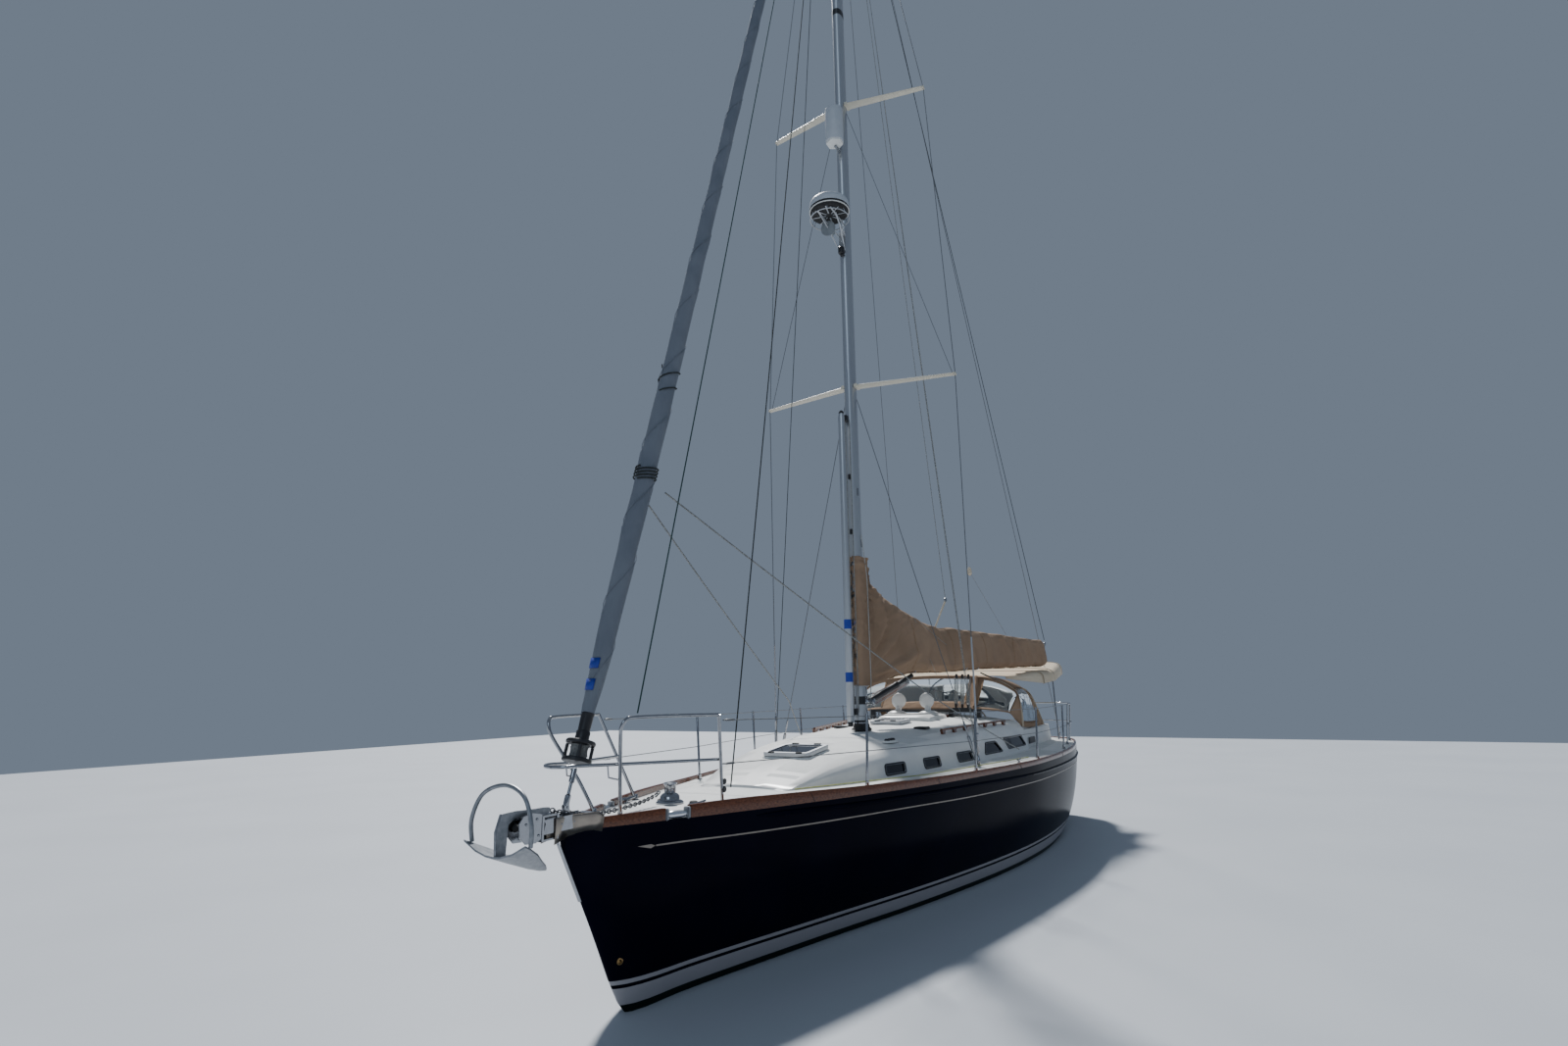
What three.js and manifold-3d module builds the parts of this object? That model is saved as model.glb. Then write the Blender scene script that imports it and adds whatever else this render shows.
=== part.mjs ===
// Sailing yacht with a masthead sloop rig, 11.8 m long on deck, afloat and ready at its berth.
// Millimetres. +X runs forward, +Y to port, +Z up. The origin is the middle of the waterline.
import * as THREE from 'three';
import { mergeVertices } from 'three/addons/utils/BufferGeometryUtils.js';
import Module from 'manifold-3d';

const wasm = await Module();
wasm.setup();

// Hull stations from stern to stem: half breadth at the deck, lowest point, and the section's
// fullness and belly. The breadth falls off fast over the last stations for a rounded stern.
const STATIONS = [
  { x: -5850, deck: 1200, keel: 330, full: 2.2, belly: 0.36 },
  { x: -5820, deck: 1370, keel: 300, full: 2.2, belly: 0.36 },
  { x: -5740, deck: 1510, keel: 260, full: 2.2, belly: 0.36 },
  { x: -5600, deck: 1640, keel: 190, full: 2.2, belly: 0.35 },
  { x: -5350, deck: 1745, keel: 85, full: 2.2, belly: 0.33 },
  { x: -5100, deck: 1800, keel: -12, full: 2.2, belly: 0.31 },
  { x: -4650, deck: 1870, keel: -110, full: 2.2, belly: 0.25 },
  { x: -3720, deck: 1960, keel: -270, full: 2.2, belly: 0.17 },
  { x: -2790, deck: 1975, keel: -400, full: 2.2, belly: 0.177 },
  { x: -1860, deck: 1940, keel: -490, full: 2.2, belly: 0.202 },
  { x: -930, deck: 1860, keel: -545, full: 2.2, belly: 0.263 },
  { x: 0, deck: 1710, keel: -560, full: 2.1, belly: 0.304 },
  { x: 930, deck: 1530, keel: -540, full: 2.0, belly: 0.370 },
  { x: 1860, deck: 1320, keel: -490, full: 1.9, belly: 0.443 },
  { x: 2790, deck: 1060, keel: -405, full: 1.8, belly: 0.515 },
  { x: 3720, deck: 780, keel: -290, full: 1.7, belly: 0.576 },
  { x: 4650, deck: 470, keel: -130, full: 1.6, belly: 0.658 },
  { x: 5100, deck: 310, keel: -8, full: 1.5, belly: 0.68 },
  { x: 5480, deck: 165, keel: 620, full: 1.4, belly: 0.70 },
  { x: 5800, deck: 34, keel: 1180, full: 1.3, belly: 0.70 },
];
const SHEER_LOW = 1240;
const SHEER_LOW_X = -1400;
const SHEER_RISE = 1.52e-6;
const HULL_WALL = 45;
const CABIN_SOLE_Z = -100;
const DECK_THICK = 40;
const DECK_CAMBER = 70;
const GAP = 0.3;

// Coachroof from bulkhead to foredeck: half width at its foot, centre height, shoulder height.
const COACHROOF = [
  { x: -2700, half: 1430, top: 1840, shoulder: 1670 },
  { x: -1400, half: 1350, top: 1800, shoulder: 1630 },
  { x: -200, half: 1200, top: 1755, shoulder: 1595 },
  { x: 900, half: 1050, top: 1700, shoulder: 1585 },
  { x: 1900, half: 880, top: 1620, shoulder: 1550 },
  { x: 2800, half: 680, top: 1520, shoulder: 1460 },
  { x: 3450, half: 480, top: 1370, shoulder: 1330 },
];
const ROOF_WALL = 35;
// Windows: ends of the lower edge, low, high, and how far the upper corners are shifted.
const PORTS = [
  { from: -2600, to: -1660, low: 1380, high: 1545, aft: 180, fore: 170 },
  { from: -1360, to: -680, low: 1368, high: 1523, aft: 210, fore: -90 },
  { from: -285, to: 190, low: 1335, high: 1460, aft: 45, fore: 30 },
  { from: 700, to: 1120, low: 1335, high: 1460, aft: 20, fore: 15 },
  { from: 1560, to: 1975, low: 1335, high: 1460, aft: 0, fore: 0 },
];
const HATCHES = [
  { name: 'foredeck', x: 2350, size: 540 },
  { name: 'midship', x: -560, size: 460 },
];
const COMPANIONWAY = { width: 620, forward: -1950, sill: 1180 };

// Cockpit well and coamings.
const COCKPIT = { fore: -2730, aft: -5050, half: 1400, sole: 640, seat: 1070, top: 1600, well: 400 };

// Rig. The boom lies swung out to port, as it was left.
const MAST = { x: 505, foot: 1770, head: 18300, long: 230, wide: 150 };
const SPREADERS = [
  { level: 'lower', z: 6390, reach: 1420 },
  { level: 'upper', z: 10970, reach: 1230 },
];
const SWEEP = 10;
const CHAINPLATE = { x: 220, y: 1400, z: 1350 };
const STEMHEAD = { x: 5800, z: 1440 };
const FORESTAY_TOP = { x: 700, z: 18250 };
const GOOSENECK = { x: 270, z: 2545 };
const BOOM = { length: 5230, swing: 15.8, rise: 2.1, deep: 170, wide: 110 };
const STAY_R = 5;

// Rails and lifelines.
const RAIL_R = 13;
const WIRE_R = 4;
const STANCHION_H = 690;
const STANCHIONS = [2770, 680, -1380, -3250];

// Underwater gear.
const KEEL = { fore: 1150, aft: -850, deep: -2050, thick: 190 };
const RUDDER = { x: -4420, chord: 760, top: -330, deep: -1750, thick: 95, stock: 42 };
const PROP = { x: -3080, z: -720, r: 230 };

const boat = new THREE.Group();

// A solid body as a manifold, from any closed geometry.
function solid(geometry) {
  const plain = geometry.clone();
  for (const key of Object.keys(plain.attributes)) {
    if (key !== 'position') plain.deleteAttribute(key);
  }
  const merged = mergeVertices(plain, 1e-3);
  return new wasm.Manifold(new wasm.Mesh({
    numProp: 3,
    vertProperties: new Float32Array(merged.attributes.position.array),
    triVerts: new Uint32Array(merged.index.array),
  }));
}

function geometryOf(body) {
  const mesh = body.getMesh();
  const geometry = new THREE.BufferGeometry();
  geometry.setAttribute('position', new THREE.BufferAttribute(mesh.vertProperties, 3));
  geometry.setIndex(new THREE.BufferAttribute(mesh.triVerts, 1));
  geometry.computeVertexNormals();
  return geometry;
}

function join(...bodies) {
  return bodies.reduce((all, body) => all.add(body));
}

function add(name, shape, look) {
  const geometry = shape.isBufferGeometry ? shape : geometryOf(shape);
  const material = new THREE.MeshStandardMaterial(look);
  const mesh = new THREE.Mesh(geometry, material);
  mesh.name = name;
  boat.add(mesh);
}

// Closed skin over a row of rings that all have the same number of points, with flat ends.
function loft(rings) {
  const n = rings[0].length;
  const points = [];
  const faces = [];
  for (const ring of rings) points.push(...ring);
  for (let i = 0; i + 1 < rings.length; i++) {
    for (let j = 0; j < n; j++) {
      const a = i * n + j;
      const b = i * n + ((j + 1) % n);
      faces.push(a, b, b + n, a, b + n, a + n);
    }
  }
  for (const [ring, start, flip] of [[rings[0], 0, true], [rings.at(-1), points.length - n, false]]) {
    const across = new THREE.Vector3().subVectors(ring[Math.floor(n / 2)], ring[0]).normalize();
    const normal = ringNormal(ring);
    const up = new THREE.Vector3().crossVectors(normal, across);
    const flat = ring.map((p) => new THREE.Vector2(p.dot(across), p.dot(up)));
    for (const [a, b, c] of THREE.ShapeUtils.triangulateShape(flat, [])) {
      faces.push(start + a, start + (flip ? c : b), start + (flip ? b : c));
    }
  }
  const geometry = new THREE.BufferGeometry().setFromPoints(points);
  geometry.setIndex(faces);
  let body = solid(geometry);
  if (body.volume() < 0) {
    geometry.setIndex(faces.toReversed());
    body = solid(geometry);
  }
  return body;
}

function ringNormal(ring) {
  const normal = new THREE.Vector3();
  for (let i = 0; i < ring.length; i++) {
    const a = ring[i];
    const b = ring[(i + 1) % ring.length];
    normal.add(new THREE.Vector3().crossVectors(a, b));
  }
  return normal.normalize();
}

function box(x0, x1, y0, y1, z0, z1) {
  const geometry = new THREE.BoxGeometry(x1 - x0, y1 - y0, z1 - z0);
  return solid(geometry.translate((x0 + x1) / 2, (y0 + y1) / 2, (z0 + z1) / 2));
}

// Straight round bar between two points, tapered if it has a second radius.
function bar(from, to, radius, sides = 8, endRadius = radius) {
  const a = new THREE.Vector3(...from);
  const b = new THREE.Vector3(...to);
  const way = b.clone().sub(a);
  const geometry = new THREE.CylinderGeometry(endRadius, radius, way.length(), sides);
  const turn = new THREE.Quaternion().setFromUnitVectors(new THREE.Vector3(0, 1, 0), way.clone().normalize());
  geometry.applyQuaternion(turn).translate(...a.add(b).multiplyScalar(0.5).toArray());
  return solid(geometry);
}

// Round tube along a smooth curve through the given points.
function tube(points, radius, steps, sides = 6) {
  const path = new THREE.CatmullRomCurve3(points.map((p) => new THREE.Vector3(...p)), false, 'centripetal');
  const section = new THREE.Shape().absarc(0, 0, radius, 0, Math.PI * 2);
  const options = { steps, bevelEnabled: false, extrudePath: path, curveSegments: sides / 2 };
  return solid(new THREE.ExtrudeGeometry(section, options));
}

function ball(x, y, z, radius, sides = 10) {
  return solid(new THREE.SphereGeometry(radius, sides, Math.ceil(sides / 2)).translate(x, y, z));
}

function turned(profile, sides = 16) {
  const points = profile.map(([r, z]) => new THREE.Vector2(r, z));
  return new THREE.LatheGeometry(points, sides).rotateX(Math.PI / 2);
}

// Value of one column of a table at x, as a smooth curve through its rows.
function along(table, key, x) {
  const rows = table;
  let i = rows.findIndex((row) => row.x > x) - 1;
  if (i < -1) i = rows.length - 2;
  i = Math.min(Math.max(i, 0), rows.length - 2);
  const [a, b] = [rows[i], rows[i + 1]];
  const before = rows[Math.max(i - 1, 0)];
  const after = rows[Math.min(i + 2, rows.length - 1)];
  const slopeA = (b[key] - before[key]) / (b.x - before.x);
  const slopeB = (after[key] - a[key]) / (after.x - a.x);
  const span = b.x - a.x;
  const t = Math.min(Math.max((x - a.x) / span, 0), 1);
  const t2 = t * t;
  const t3 = t2 * t;
  return (2 * t3 - 3 * t2 + 1) * a[key] + (t3 - 2 * t2 + t) * span * slopeA
    + (3 * t2 - 2 * t3) * b[key] + (t3 - t2) * span * slopeB;
}

function sheer(x) {
  return SHEER_LOW + SHEER_RISE * (x - SHEER_LOW_X) ** 2;
}

function deckHalf(x) {
  return along(STATIONS, 'deck', x);
}

// A width across the rail line at x, measured along y.
function acrossRail(x, width) {
  const a = Math.max(x - 5, -5850);
  const slope = (deckHalf(x + 5) - deckHalf(a)) / (x + 5 - a);
  return width * Math.sqrt(1 + slope ** 2);
}

// The deck plate stops short of the hull's outside, where the toe rail covers its edge.
function deckEdge(x) {
  return Math.max(deckHalf(x) - acrossRail(x, 28), 6);
}

// Height of the deck's upper face, which rises a little towards the middle.
function deckTop(x, y) {
  const half = deckHalf(x);
  return sheer(x) + DECK_THICK + DECK_CAMBER * (half / 1975) * (1 - (y / half) ** 2);
}

// Hull section from the keel up to the sheer, as a list of [half breadth, height].
function section(row, inset, steps) {
  const top = sheer(row.x);
  const line = [];
  for (let k = 0; k <= steps; k++) {
    const u = (k / steps) ** 1.7;
    const breadth = row.deck * (1 - (1 - u) ** row.full) ** row.belly;
    line.push([Math.max(breadth - inset, 0.5), row.keel + (top - row.keel) * u + inset * (1 - u)]);
  }
  return line;
}

function hullSkin(inset, raise) {
  const rings = STATIONS.map((row) => {
    const line = section(row, inset, 12);
    const rim = line.at(-1);
    const capped = [...line.slice(0, -1), [rim[0], rim[1] + raise]];
    const port = capped.map(([y, z]) => new THREE.Vector3(row.x, y, z));
    const starboard = capped.slice().reverse().map(([y, z]) => new THREE.Vector3(row.x, -y, z));
    return [...port, ...starboard];
  });
  return loft(rings);
}

// Looks
const NAVY = { color: 0x0b1024, roughness: 0.15, metalness: 0 };
const WHITE = { color: 0xe9e9e4, roughness: 0.4, metalness: 0 };
const TEAK = { color: 0x7c4423, roughness: 0.35, metalness: 0 };
const STEEL = { color: 0xc3c7ca, roughness: 0.2, metalness: 1 };
const ALLOY = { color: 0xb4b8bc, roughness: 0.35, metalness: 1 };
const CANVAS = { color: 0x9c7f5e, roughness: 0.9, metalness: 0 };
const BLACK = { color: 0x17181a, roughness: 0.6, metalness: 0 };
const TINT = { color: 0x1c242b, roughness: 0.05, metalness: 0 };
const LEAD = { color: 0x20262a, roughness: 0.7, metalness: 0 };
const BRONZE = { color: 0x9c7b46, roughness: 0.35, metalness: 1 };

// Hull: outer skin less the cabin space, which opens upwards.
const hullOuter = hullSkin(0, 0);
const cabinSpace = hullSkin(HULL_WALL, 200).intersect(box(-5300, 5150, -2500, 2500, CABIN_SOLE_Z, 2000));
const rudderBore = bar([RUDDER.x, 0, -900], [RUDDER.x, 0, 500], RUDDER.stock + 8, 16);
const driveHole = box(PROP.x + 170, PROP.x + 330, -60, 60, -900, CABIN_SOLE_Z + 50);
add('hull', hullOuter.subtract(cabinSpace).subtract(rudderBore).subtract(driveHole), NAVY);

// Keel: a tapered fin with a flat-footed bulb, fitted under the hull.
function foil(x0, x1, half, z, steps = 6) {
  const side = [];
  for (let k = 0; k <= steps; k++) {
    const t = k / steps;
    const y = half * 2.6 * Math.sqrt(t) * (1 - t) + half * 0.12 * Math.min(t, 1 - t);
    side.push([x0 + (x1 - x0) * t, y]);
  }
  const port = side.slice(1, -1).map(([x, y]) => new THREE.Vector3(x, y, z));
  const starboard = side.slice(1, -1).reverse().map(([x, y]) => new THREE.Vector3(x, -y, z));
  return [new THREE.Vector3(x0, 0, z), ...port, new THREE.Vector3(x1, 0, z), ...starboard];
}
const fin = loft([
  foil(KEEL.fore, KEEL.aft, KEEL.thick / 2, -400),
  foil(KEEL.fore - 420, KEEL.aft - 60, KEEL.thick * 0.42, KEEL.deep + 140),
]);
const bulb = loft([
  foil(KEEL.fore - 250, KEEL.aft - 320, 60, KEEL.deep + 260),
  foil(KEEL.fore - 60, KEEL.aft - 420, 165, KEEL.deep + 130),
  foil(KEEL.fore - 180, KEEL.aft - 380, 120, KEEL.deep),
]);
add('keel', join(fin, bulb).subtract(hullOuter.translate(0, 0, -GAP * 2)), LEAD);

// Rudder on its stock, which turns in the hull's bore.
const blade = loft([
  foil(RUDDER.x + RUDDER.chord * 0.3, RUDDER.x - RUDDER.chord * 0.7, RUDDER.thick / 2, RUDDER.top),
  foil(RUDDER.x + RUDDER.chord * 0.18, RUDDER.x - RUDDER.chord * 0.5, RUDDER.thick * 0.3, RUDDER.deep),
]);
const stock = bar([RUDDER.x, 0, RUDDER.top - 200], [RUDDER.x, 0, 420], RUDDER.stock - 8, 16);
add('rudder', join(blade, stock), NAVY);

// Engine block with its drive leg, and the propeller behind the leg.
add('engine_block', box(PROP.x - 40, PROP.x + 760, -250, 250, CABIN_SOLE_Z + 60, 480), {
  color: 0x7d8388, roughness: 0.5, metalness: 0.6,
});
const leg = join(
  box(PROP.x + 175, PROP.x + 325, -55, 55, -600, CABIN_SOLE_Z + 59.5),
  bar([PROP.x + 60, 0, PROP.z], [PROP.x + 380, 0, PROP.z], 62, 12, 30),
  box(PROP.x + 150, PROP.x + 300, -28, 28, PROP.z - 150, -560),
);
add('drive_leg', leg, { color: 0x8e9497, roughness: 0.45, metalness: 0.4 });
let propeller = bar([PROP.x - 80, 0, PROP.z], [PROP.x + 54, 0, PROP.z], 30, 12, 52);
for (let k = 0; k < 3; k++) {
  const paddle = new THREE.CylinderGeometry(92, 60, 10, 14).rotateX(Math.PI / 2);
  paddle.translate(0, 128, 0).rotateY(1.1).rotateX((k * 2 * Math.PI) / 3);
  propeller = propeller.add(solid(paddle.translate(PROP.x, 0, PROP.z)));
}
add('propeller', propeller, BRONZE);

// Deck plate with the coachroof shell standing on it.
const deckRings = STATIONS.map((row) => {
  const ring = [];
  for (let k = -5; k <= 5; k++) {
    const y = (deckEdge(row.x) * k) / 5;
    ring.push(new THREE.Vector3(row.x, y, deckTop(row.x, y)));
  }
  for (let k = 5; k >= -5; k--) {
    const y = (deckEdge(row.x) * k) / 5;
    ring.push(new THREE.Vector3(row.x, y, deckTop(row.x, y) - DECK_THICK + GAP));
  }
  return ring;
});

// Coachroof section from side to side, shrunk by a wall thickness for its inside.
function roofRing(x, inset, foot) {
  const half = along(COACHROOF, 'half', x) - inset;
  const top = along(COACHROOF, 'top', x) - inset;
  const shoulder = along(COACHROOF, 'shoulder', x) - inset;
  const outline = [
    [half, foot],
    [half - 25, (shoulder + deckTop(x, half)) / 2],
    [half - 80, shoulder - 20],
    [half - 160, shoulder + (top - shoulder) * 0.35],
    [half * 0.55, top - (top - shoulder) * 0.22],
    [0, top],
  ];
  const port = outline.map(([y, z]) => new THREE.Vector3(x, y, z));
  const starboard = outline.slice(0, -1).reverse().map(([y, z]) => new THREE.Vector3(x, -y, z));
  return [...port, ...starboard];
}
const roofX = [];
for (let x = -2700; x <= 3450; x += 410) roofX.push(x);
const roofOuter = loft(roofX.map((x) => roofRing(x, 0, sheer(x) + 20)));
const roofInner = loft(roofX.map((x, i) => roofRing(i ? x : x + ROOF_WALL, ROOF_WALL, sheer(x) - 200)));
const deckPlate = loft(deckRings);
const slideWay = box(-3000, COMPANIONWAY.forward, -COMPANIONWAY.width / 2, COMPANIONWAY.width / 2,
  COMPANIONWAY.sill, 2200);
let deck = deckPlate.add(roofOuter).subtract(roofInner).subtract(slideWay);
for (const hatch of HATCHES) {
  const hole = hatch.size / 2 - 40;
  deck = deck.subtract(box(hatch.x - hole, hatch.x + hole, -hole, hole, 1350, 2200));
}

// A window's outline, grown evenly, as a block that runs through both sides of the coachroof.
function portBlock(port, grow, reach = 2600) {
  const corner = (x, shift, side, up) => {
    const lean = shift / (port.high - port.low);
    const out = side * Math.hypot(1, lean) * grow;
    return new THREE.Vector2(x + out + (up ? shift + lean * grow : -lean * grow),
      up ? port.high + grow : port.low - grow);
  };
  const shape = new THREE.Shape([
    corner(port.from, port.aft, -1, false),
    corner(port.to, port.fore, 1, false),
    corner(port.to, port.fore, 1, true),
    corner(port.from, port.aft, -1, true),
  ]);
  const geometry = new THREE.ExtrudeGeometry(shape, { depth: reach, bevelEnabled: false });
  return solid(geometry.rotateX(Math.PI / 2).translate(0, reach / 2, 0));
}
for (const port of PORTS) deck = deck.subtract(portBlock(port, 0, 3200));
const cockpitHole = box(COCKPIT.aft - GAP, COCKPIT.fore + GAP, -COCKPIT.half - GAP, COCKPIT.half + GAP,
  900, 2400);
add('deck', deck.subtract(cockpitHole), WHITE);

// Cockpit moulding: coamings, seats and foot well.
const cockpitBlock = box(COCKPIT.aft, COCKPIT.fore, -COCKPIT.half, COCKPIT.half, COCKPIT.seat - 40, COCKPIT.top);
const wellBlock = box(COCKPIT.aft + 60, COCKPIT.fore - 10, -COCKPIT.well - 40, COCKPIT.well + 40,
  COCKPIT.sole - 40, COCKPIT.seat);
const seatSpace = box(COCKPIT.aft + 260, COCKPIT.fore + 10, -1180, 1180, COCKPIT.seat, 2400);
const wellSpace = box(COCKPIT.aft + 100, COCKPIT.fore - 50, -COCKPIT.well, COCKPIT.well, COCKPIT.sole, 2400);
const cockpit = join(cockpitBlock, wellBlock).subtract(seatSpace).subtract(wellSpace);
add('cockpit', cockpit, WHITE);

// Window glass: panes on each side, tied by a thin strip inside the coachroof wall.
for (const [side, sign] of [['port', 1], ['starboard', -1]]) {
  const skin = loft(roofX.map((x) => roofRing(x, 12, sheer(x) + 20)));
  const core = loft(roofX.map((x) => roofRing(x, ROOF_WALL + 4, sheer(x) - 200)));
  const back = loft(roofX.map((x) => roofRing(x, ROOF_WALL + GAP, sheer(x) - 200)));
  let panes = null;
  for (const port of PORTS) {
    const pane = portBlock(port, -GAP, 3200).intersect(skin).subtract(core);
    panes = panes ? panes.add(pane) : pane;
  }
  const strip = back.subtract(core).intersect(box(-2550, 1970, -3000, 3000, 1410, 1440));
  const half = box(-2690, 3000, sign > 0 ? 400 : -2000, sign > 0 ? 2000 : -400, 1200, 1700);
  add(`window_glass_${side}`, panes.add(strip).intersect(half), TINT);
}

// Hatches: a frame and tinted pane in one lid, and the sliding companionway hatch.
for (const hatch of HATCHES) {
  const x0 = hatch.x - hatch.size / 2;
  const x1 = hatch.x + hatch.size / 2;
  const tilt = Math.atan2(along(COACHROOF, 'top', x1) - along(COACHROOF, 'top', x0), hatch.size);
  const lid = new THREE.BoxGeometry(hatch.size, hatch.size, 45).rotateY(-tilt);
  const top = along(COACHROOF, 'top', hatch.x);
  add(`${hatch.name}_hatch_lid`, solid(lid.translate(hatch.x, 0, top + 32)), TINT);
}
const slideZ = along(COACHROOF, 'top', COMPANIONWAY.forward);
add('companionway_slide', box(-2760, COMPANIONWAY.forward + 60, -360, 360, slideZ + 30, slideZ + 60), WHITE);
add('sea_hood', box(-1890, -1090, -430, 430, slideZ - 20, slideZ + 105)
  .subtract(box(-1900, -1130, -390, 390, slideZ - 60, slideZ + 80)).subtract(roofOuter.translate(0, 0, GAP)), WHITE);

// Toe rails along both deck edges, highest by the foredeck.
const RAIL_HEIGHTS = [
  { x: -5850, up: 62 },
  { x: -1600, up: 62 },
  { x: 900, up: 68 },
  { x: 2000, up: 74 },
  { x: 3000, up: 82 },
  { x: 4000, up: 98 },
  { x: 4650, up: 98 },
  { x: 5570, up: 68 },
];
for (const [side, sign] of [['port', 1], ['starboard', -1]]) {
  const rings = STATIONS.filter((row) => row.x < 5500).map((row) => {
    const outer = deckHalf(row.x) - 2;
    const inner = Math.max(outer - acrossRail(row.x, 38), 3);
    const top = sheer(row.x) + along(RAIL_HEIGHTS, 'up', row.x);
    const deckLevel = deckTop(row.x, inner) + GAP + 1;
    const edge = Math.max(deckEdge(row.x) + GAP, 6.3);
    const points = [[outer, sheer(row.x) + GAP], [outer, top], [inner, top], [inner, deckLevel],
      [edge, deckLevel], [edge, sheer(row.x) + GAP]];
    return points.map(([y, z]) => new THREE.Vector3(row.x, sign * y, z));
  });
  add(`toe_rail_${side}`, loft(rings), TEAK);
}

// Mast, boot, masthead and spreaders.
function oval(long, wide, sides) {
  const points = [];
  for (let k = 0; k < sides; k++) {
    const a = (k / sides) * Math.PI * 2;
    points.push(new THREE.Vector2((long / 2) * Math.cos(a), (wide / 2) * Math.sin(a)));
  }
  return new THREE.Shape(points);
}
const mastTube = new THREE.ExtrudeGeometry(oval(MAST.long, MAST.wide, 16), {
  depth: MAST.head - MAST.foot, bevelEnabled: false,
});
add('mast', mastTube.translate(MAST.x, 0, MAST.foot), ALLOY);
const boot = new THREE.ExtrudeGeometry(oval(MAST.long + 90, MAST.wide + 90, 16), {
  depth: 34, bevelEnabled: false,
});
add('mast_boot', boot.translate(MAST.x, 0, MAST.foot - 34 - GAP), BLACK);
add('masthead', box(240, 780, -45, 45, MAST.head + GAP, MAST.head + 70), ALLOY);

const sweepX = (reach) => MAST.x - reach * Math.tan(THREE.MathUtils.degToRad(SWEEP));
for (const [side, sign] of [['port', 1], ['starboard', -1]]) {
  for (const { level, z, reach } of SPREADERS) {
    const root = MAST.wide / 2 + GAP;
    const ring = (y, half, thick) => [
      [half, 0], [half * 0.3, thick], [-half, 0], [half * 0.3, -thick],
    ].map(([dx, dz]) => new THREE.Vector3(sweepX(y) + dx, sign * y, z + dz));
    add(`spreader_${level}_${side}`, loft([ring(root, 84, 24), ring(reach, 50, 17)]), WHITE);
  }
  const out = STAY_R + 4;
  const [lower, upper] = SPREADERS;
  const cap = join(
    bar([CHAINPLATE.x, sign * CHAINPLATE.y, CHAINPLATE.z], [sweepX(1420), sign * (lower.reach + out), lower.z],
      STAY_R, 6),
    ball(sweepX(1420), sign * (lower.reach + out), lower.z, STAY_R + 0.3, 6),
    bar([sweepX(1420), sign * (lower.reach + out), lower.z],
      [sweepX(1230), sign * (upper.reach + out), upper.z], STAY_R, 6),
    ball(sweepX(1230), sign * (upper.reach + out), upper.z, STAY_R + 0.3, 6),
    bar([sweepX(1230), sign * (upper.reach + out), upper.z], [MAST.x, sign * 84, 18150], STAY_R, 6),
  );
  add(`cap_shroud_${side}`, cap, STEEL);
  add(`lower_shroud_${side}`, bar([CHAINPLATE.x - 60, sign * (CHAINPLATE.y - 40), CHAINPLATE.z],
    [MAST.x - 20, sign * 84, 6200], STAY_R, 6), STEEL);
  add(`backstay_${side}`, bar([-5500, sign * 1480, 1400], [262, sign * 52, MAST.head + 30], STAY_R, 6), STEEL);
}

// Furled headsail round the forestay, its drum and the toggle below.
const stayAt = (z) => STEMHEAD.x + ((z - STEMHEAD.z) * (FORESTAY_TOP.x - STEMHEAD.x))
  / (FORESTAY_TOP.z - STEMHEAD.z);
const stayPoint = (z) => [stayAt(z), 0, z];
const SAIL = [[2110, 48], [2300, 66], [2700, 78], [3300, 84], [4200, 87], [5900, 80], [9000, 70], [17800, 45]];
add('furled_headsail', loft(SAIL.map(([z, r]) => oval(r * 2, r * 2, 12).getPoints().slice(0, 12)
  .map((p) => new THREE.Vector3(stayAt(z) + p.x, p.y, z)))), CANVAS);
add('furler_drum', join(
  bar(stayPoint(1752), stayPoint(1782), 105, 16),
  bar(stayPoint(1770), stayPoint(1880), 72, 12),
  bar(stayPoint(1868), stayPoint(1898), 105, 16),
  bar(stayPoint(1890), stayPoint(2085), 50, 12),
  bar(stayPoint(1480), stayPoint(1760), 11, 8),
), BLACK);

// Boom, sail cover and vang, all turned out to port about the gooseneck.
function swungOut(body) {
  return body.translate(-GOOSENECK.x, 0, 0).rotate(0, 0, -BOOM.swing).translate(GOOSENECK.x, 0, 0);
}
const rise = Math.tan(THREE.MathUtils.degToRad(BOOM.rise));
const boomRing = (d, scale) => oval(BOOM.wide * scale, BOOM.deep * scale, 12).getPoints().slice(0, 12)
  .map((p) => new THREE.Vector3(GOOSENECK.x - d, p.x, GOOSENECK.z + rise * d + p.y));
const boomTube = loft([boomRing(0, 0.8), boomRing(BOOM.length, 1)]);
add('boom', swungOut(boomTube), ALLOY);
const COVER = [
  { x: 60, low: 2290, high: 3715, half: 105 },
  { x: 400, low: 2355, high: 3500, half: 140 },
  { x: 680, low: 2415, high: 3392, half: 160 },
  { x: 1000, low: 2458, high: 3290, half: 170 },
  { x: 1470, low: 2472, high: 3175, half: 170 },
  { x: 1760, low: 2478, high: 3135, half: 165 },
  { x: 3030, low: 2545, high: 3128, half: 150 },
  { x: 4360, low: 2592, high: 3092, half: 135 },
  { x: 5160, low: 2620, high: 3078, half: 125 },
];
const coverRings = COVER.map(({ x: d, low, high, half }) => {
  const tall = high - low;
  const outline = [
    [0, low], [half * 0.75, low + 25], [half, low + tall * 0.3], [half * 0.85, low + tall * 0.7],
    [half * 0.4, low + tall * 0.95], [0, high],
  ];
  const port = outline.map(([y, z]) => new THREE.Vector3(GOOSENECK.x - d, y, z));
  const starboard = outline.slice(1, -1).reverse().map(([y, z]) => new THREE.Vector3(GOOSENECK.x - d, -y, z));
  return [...port, ...starboard];
});
const boomSpace = loft([boomRing(-20, 0.8 * 1.06), boomRing(BOOM.length + 20, 1.06)]);
add('sail_cover', swungOut(loft(coverRings).subtract(boomSpace)), CANVAS);
add('vang', swungOut(bar([GOOSENECK.x - 55, 0, 2095], [GOOSENECK.x - 1040, 0, 2425], 30, 10)), ALLOY);

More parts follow.
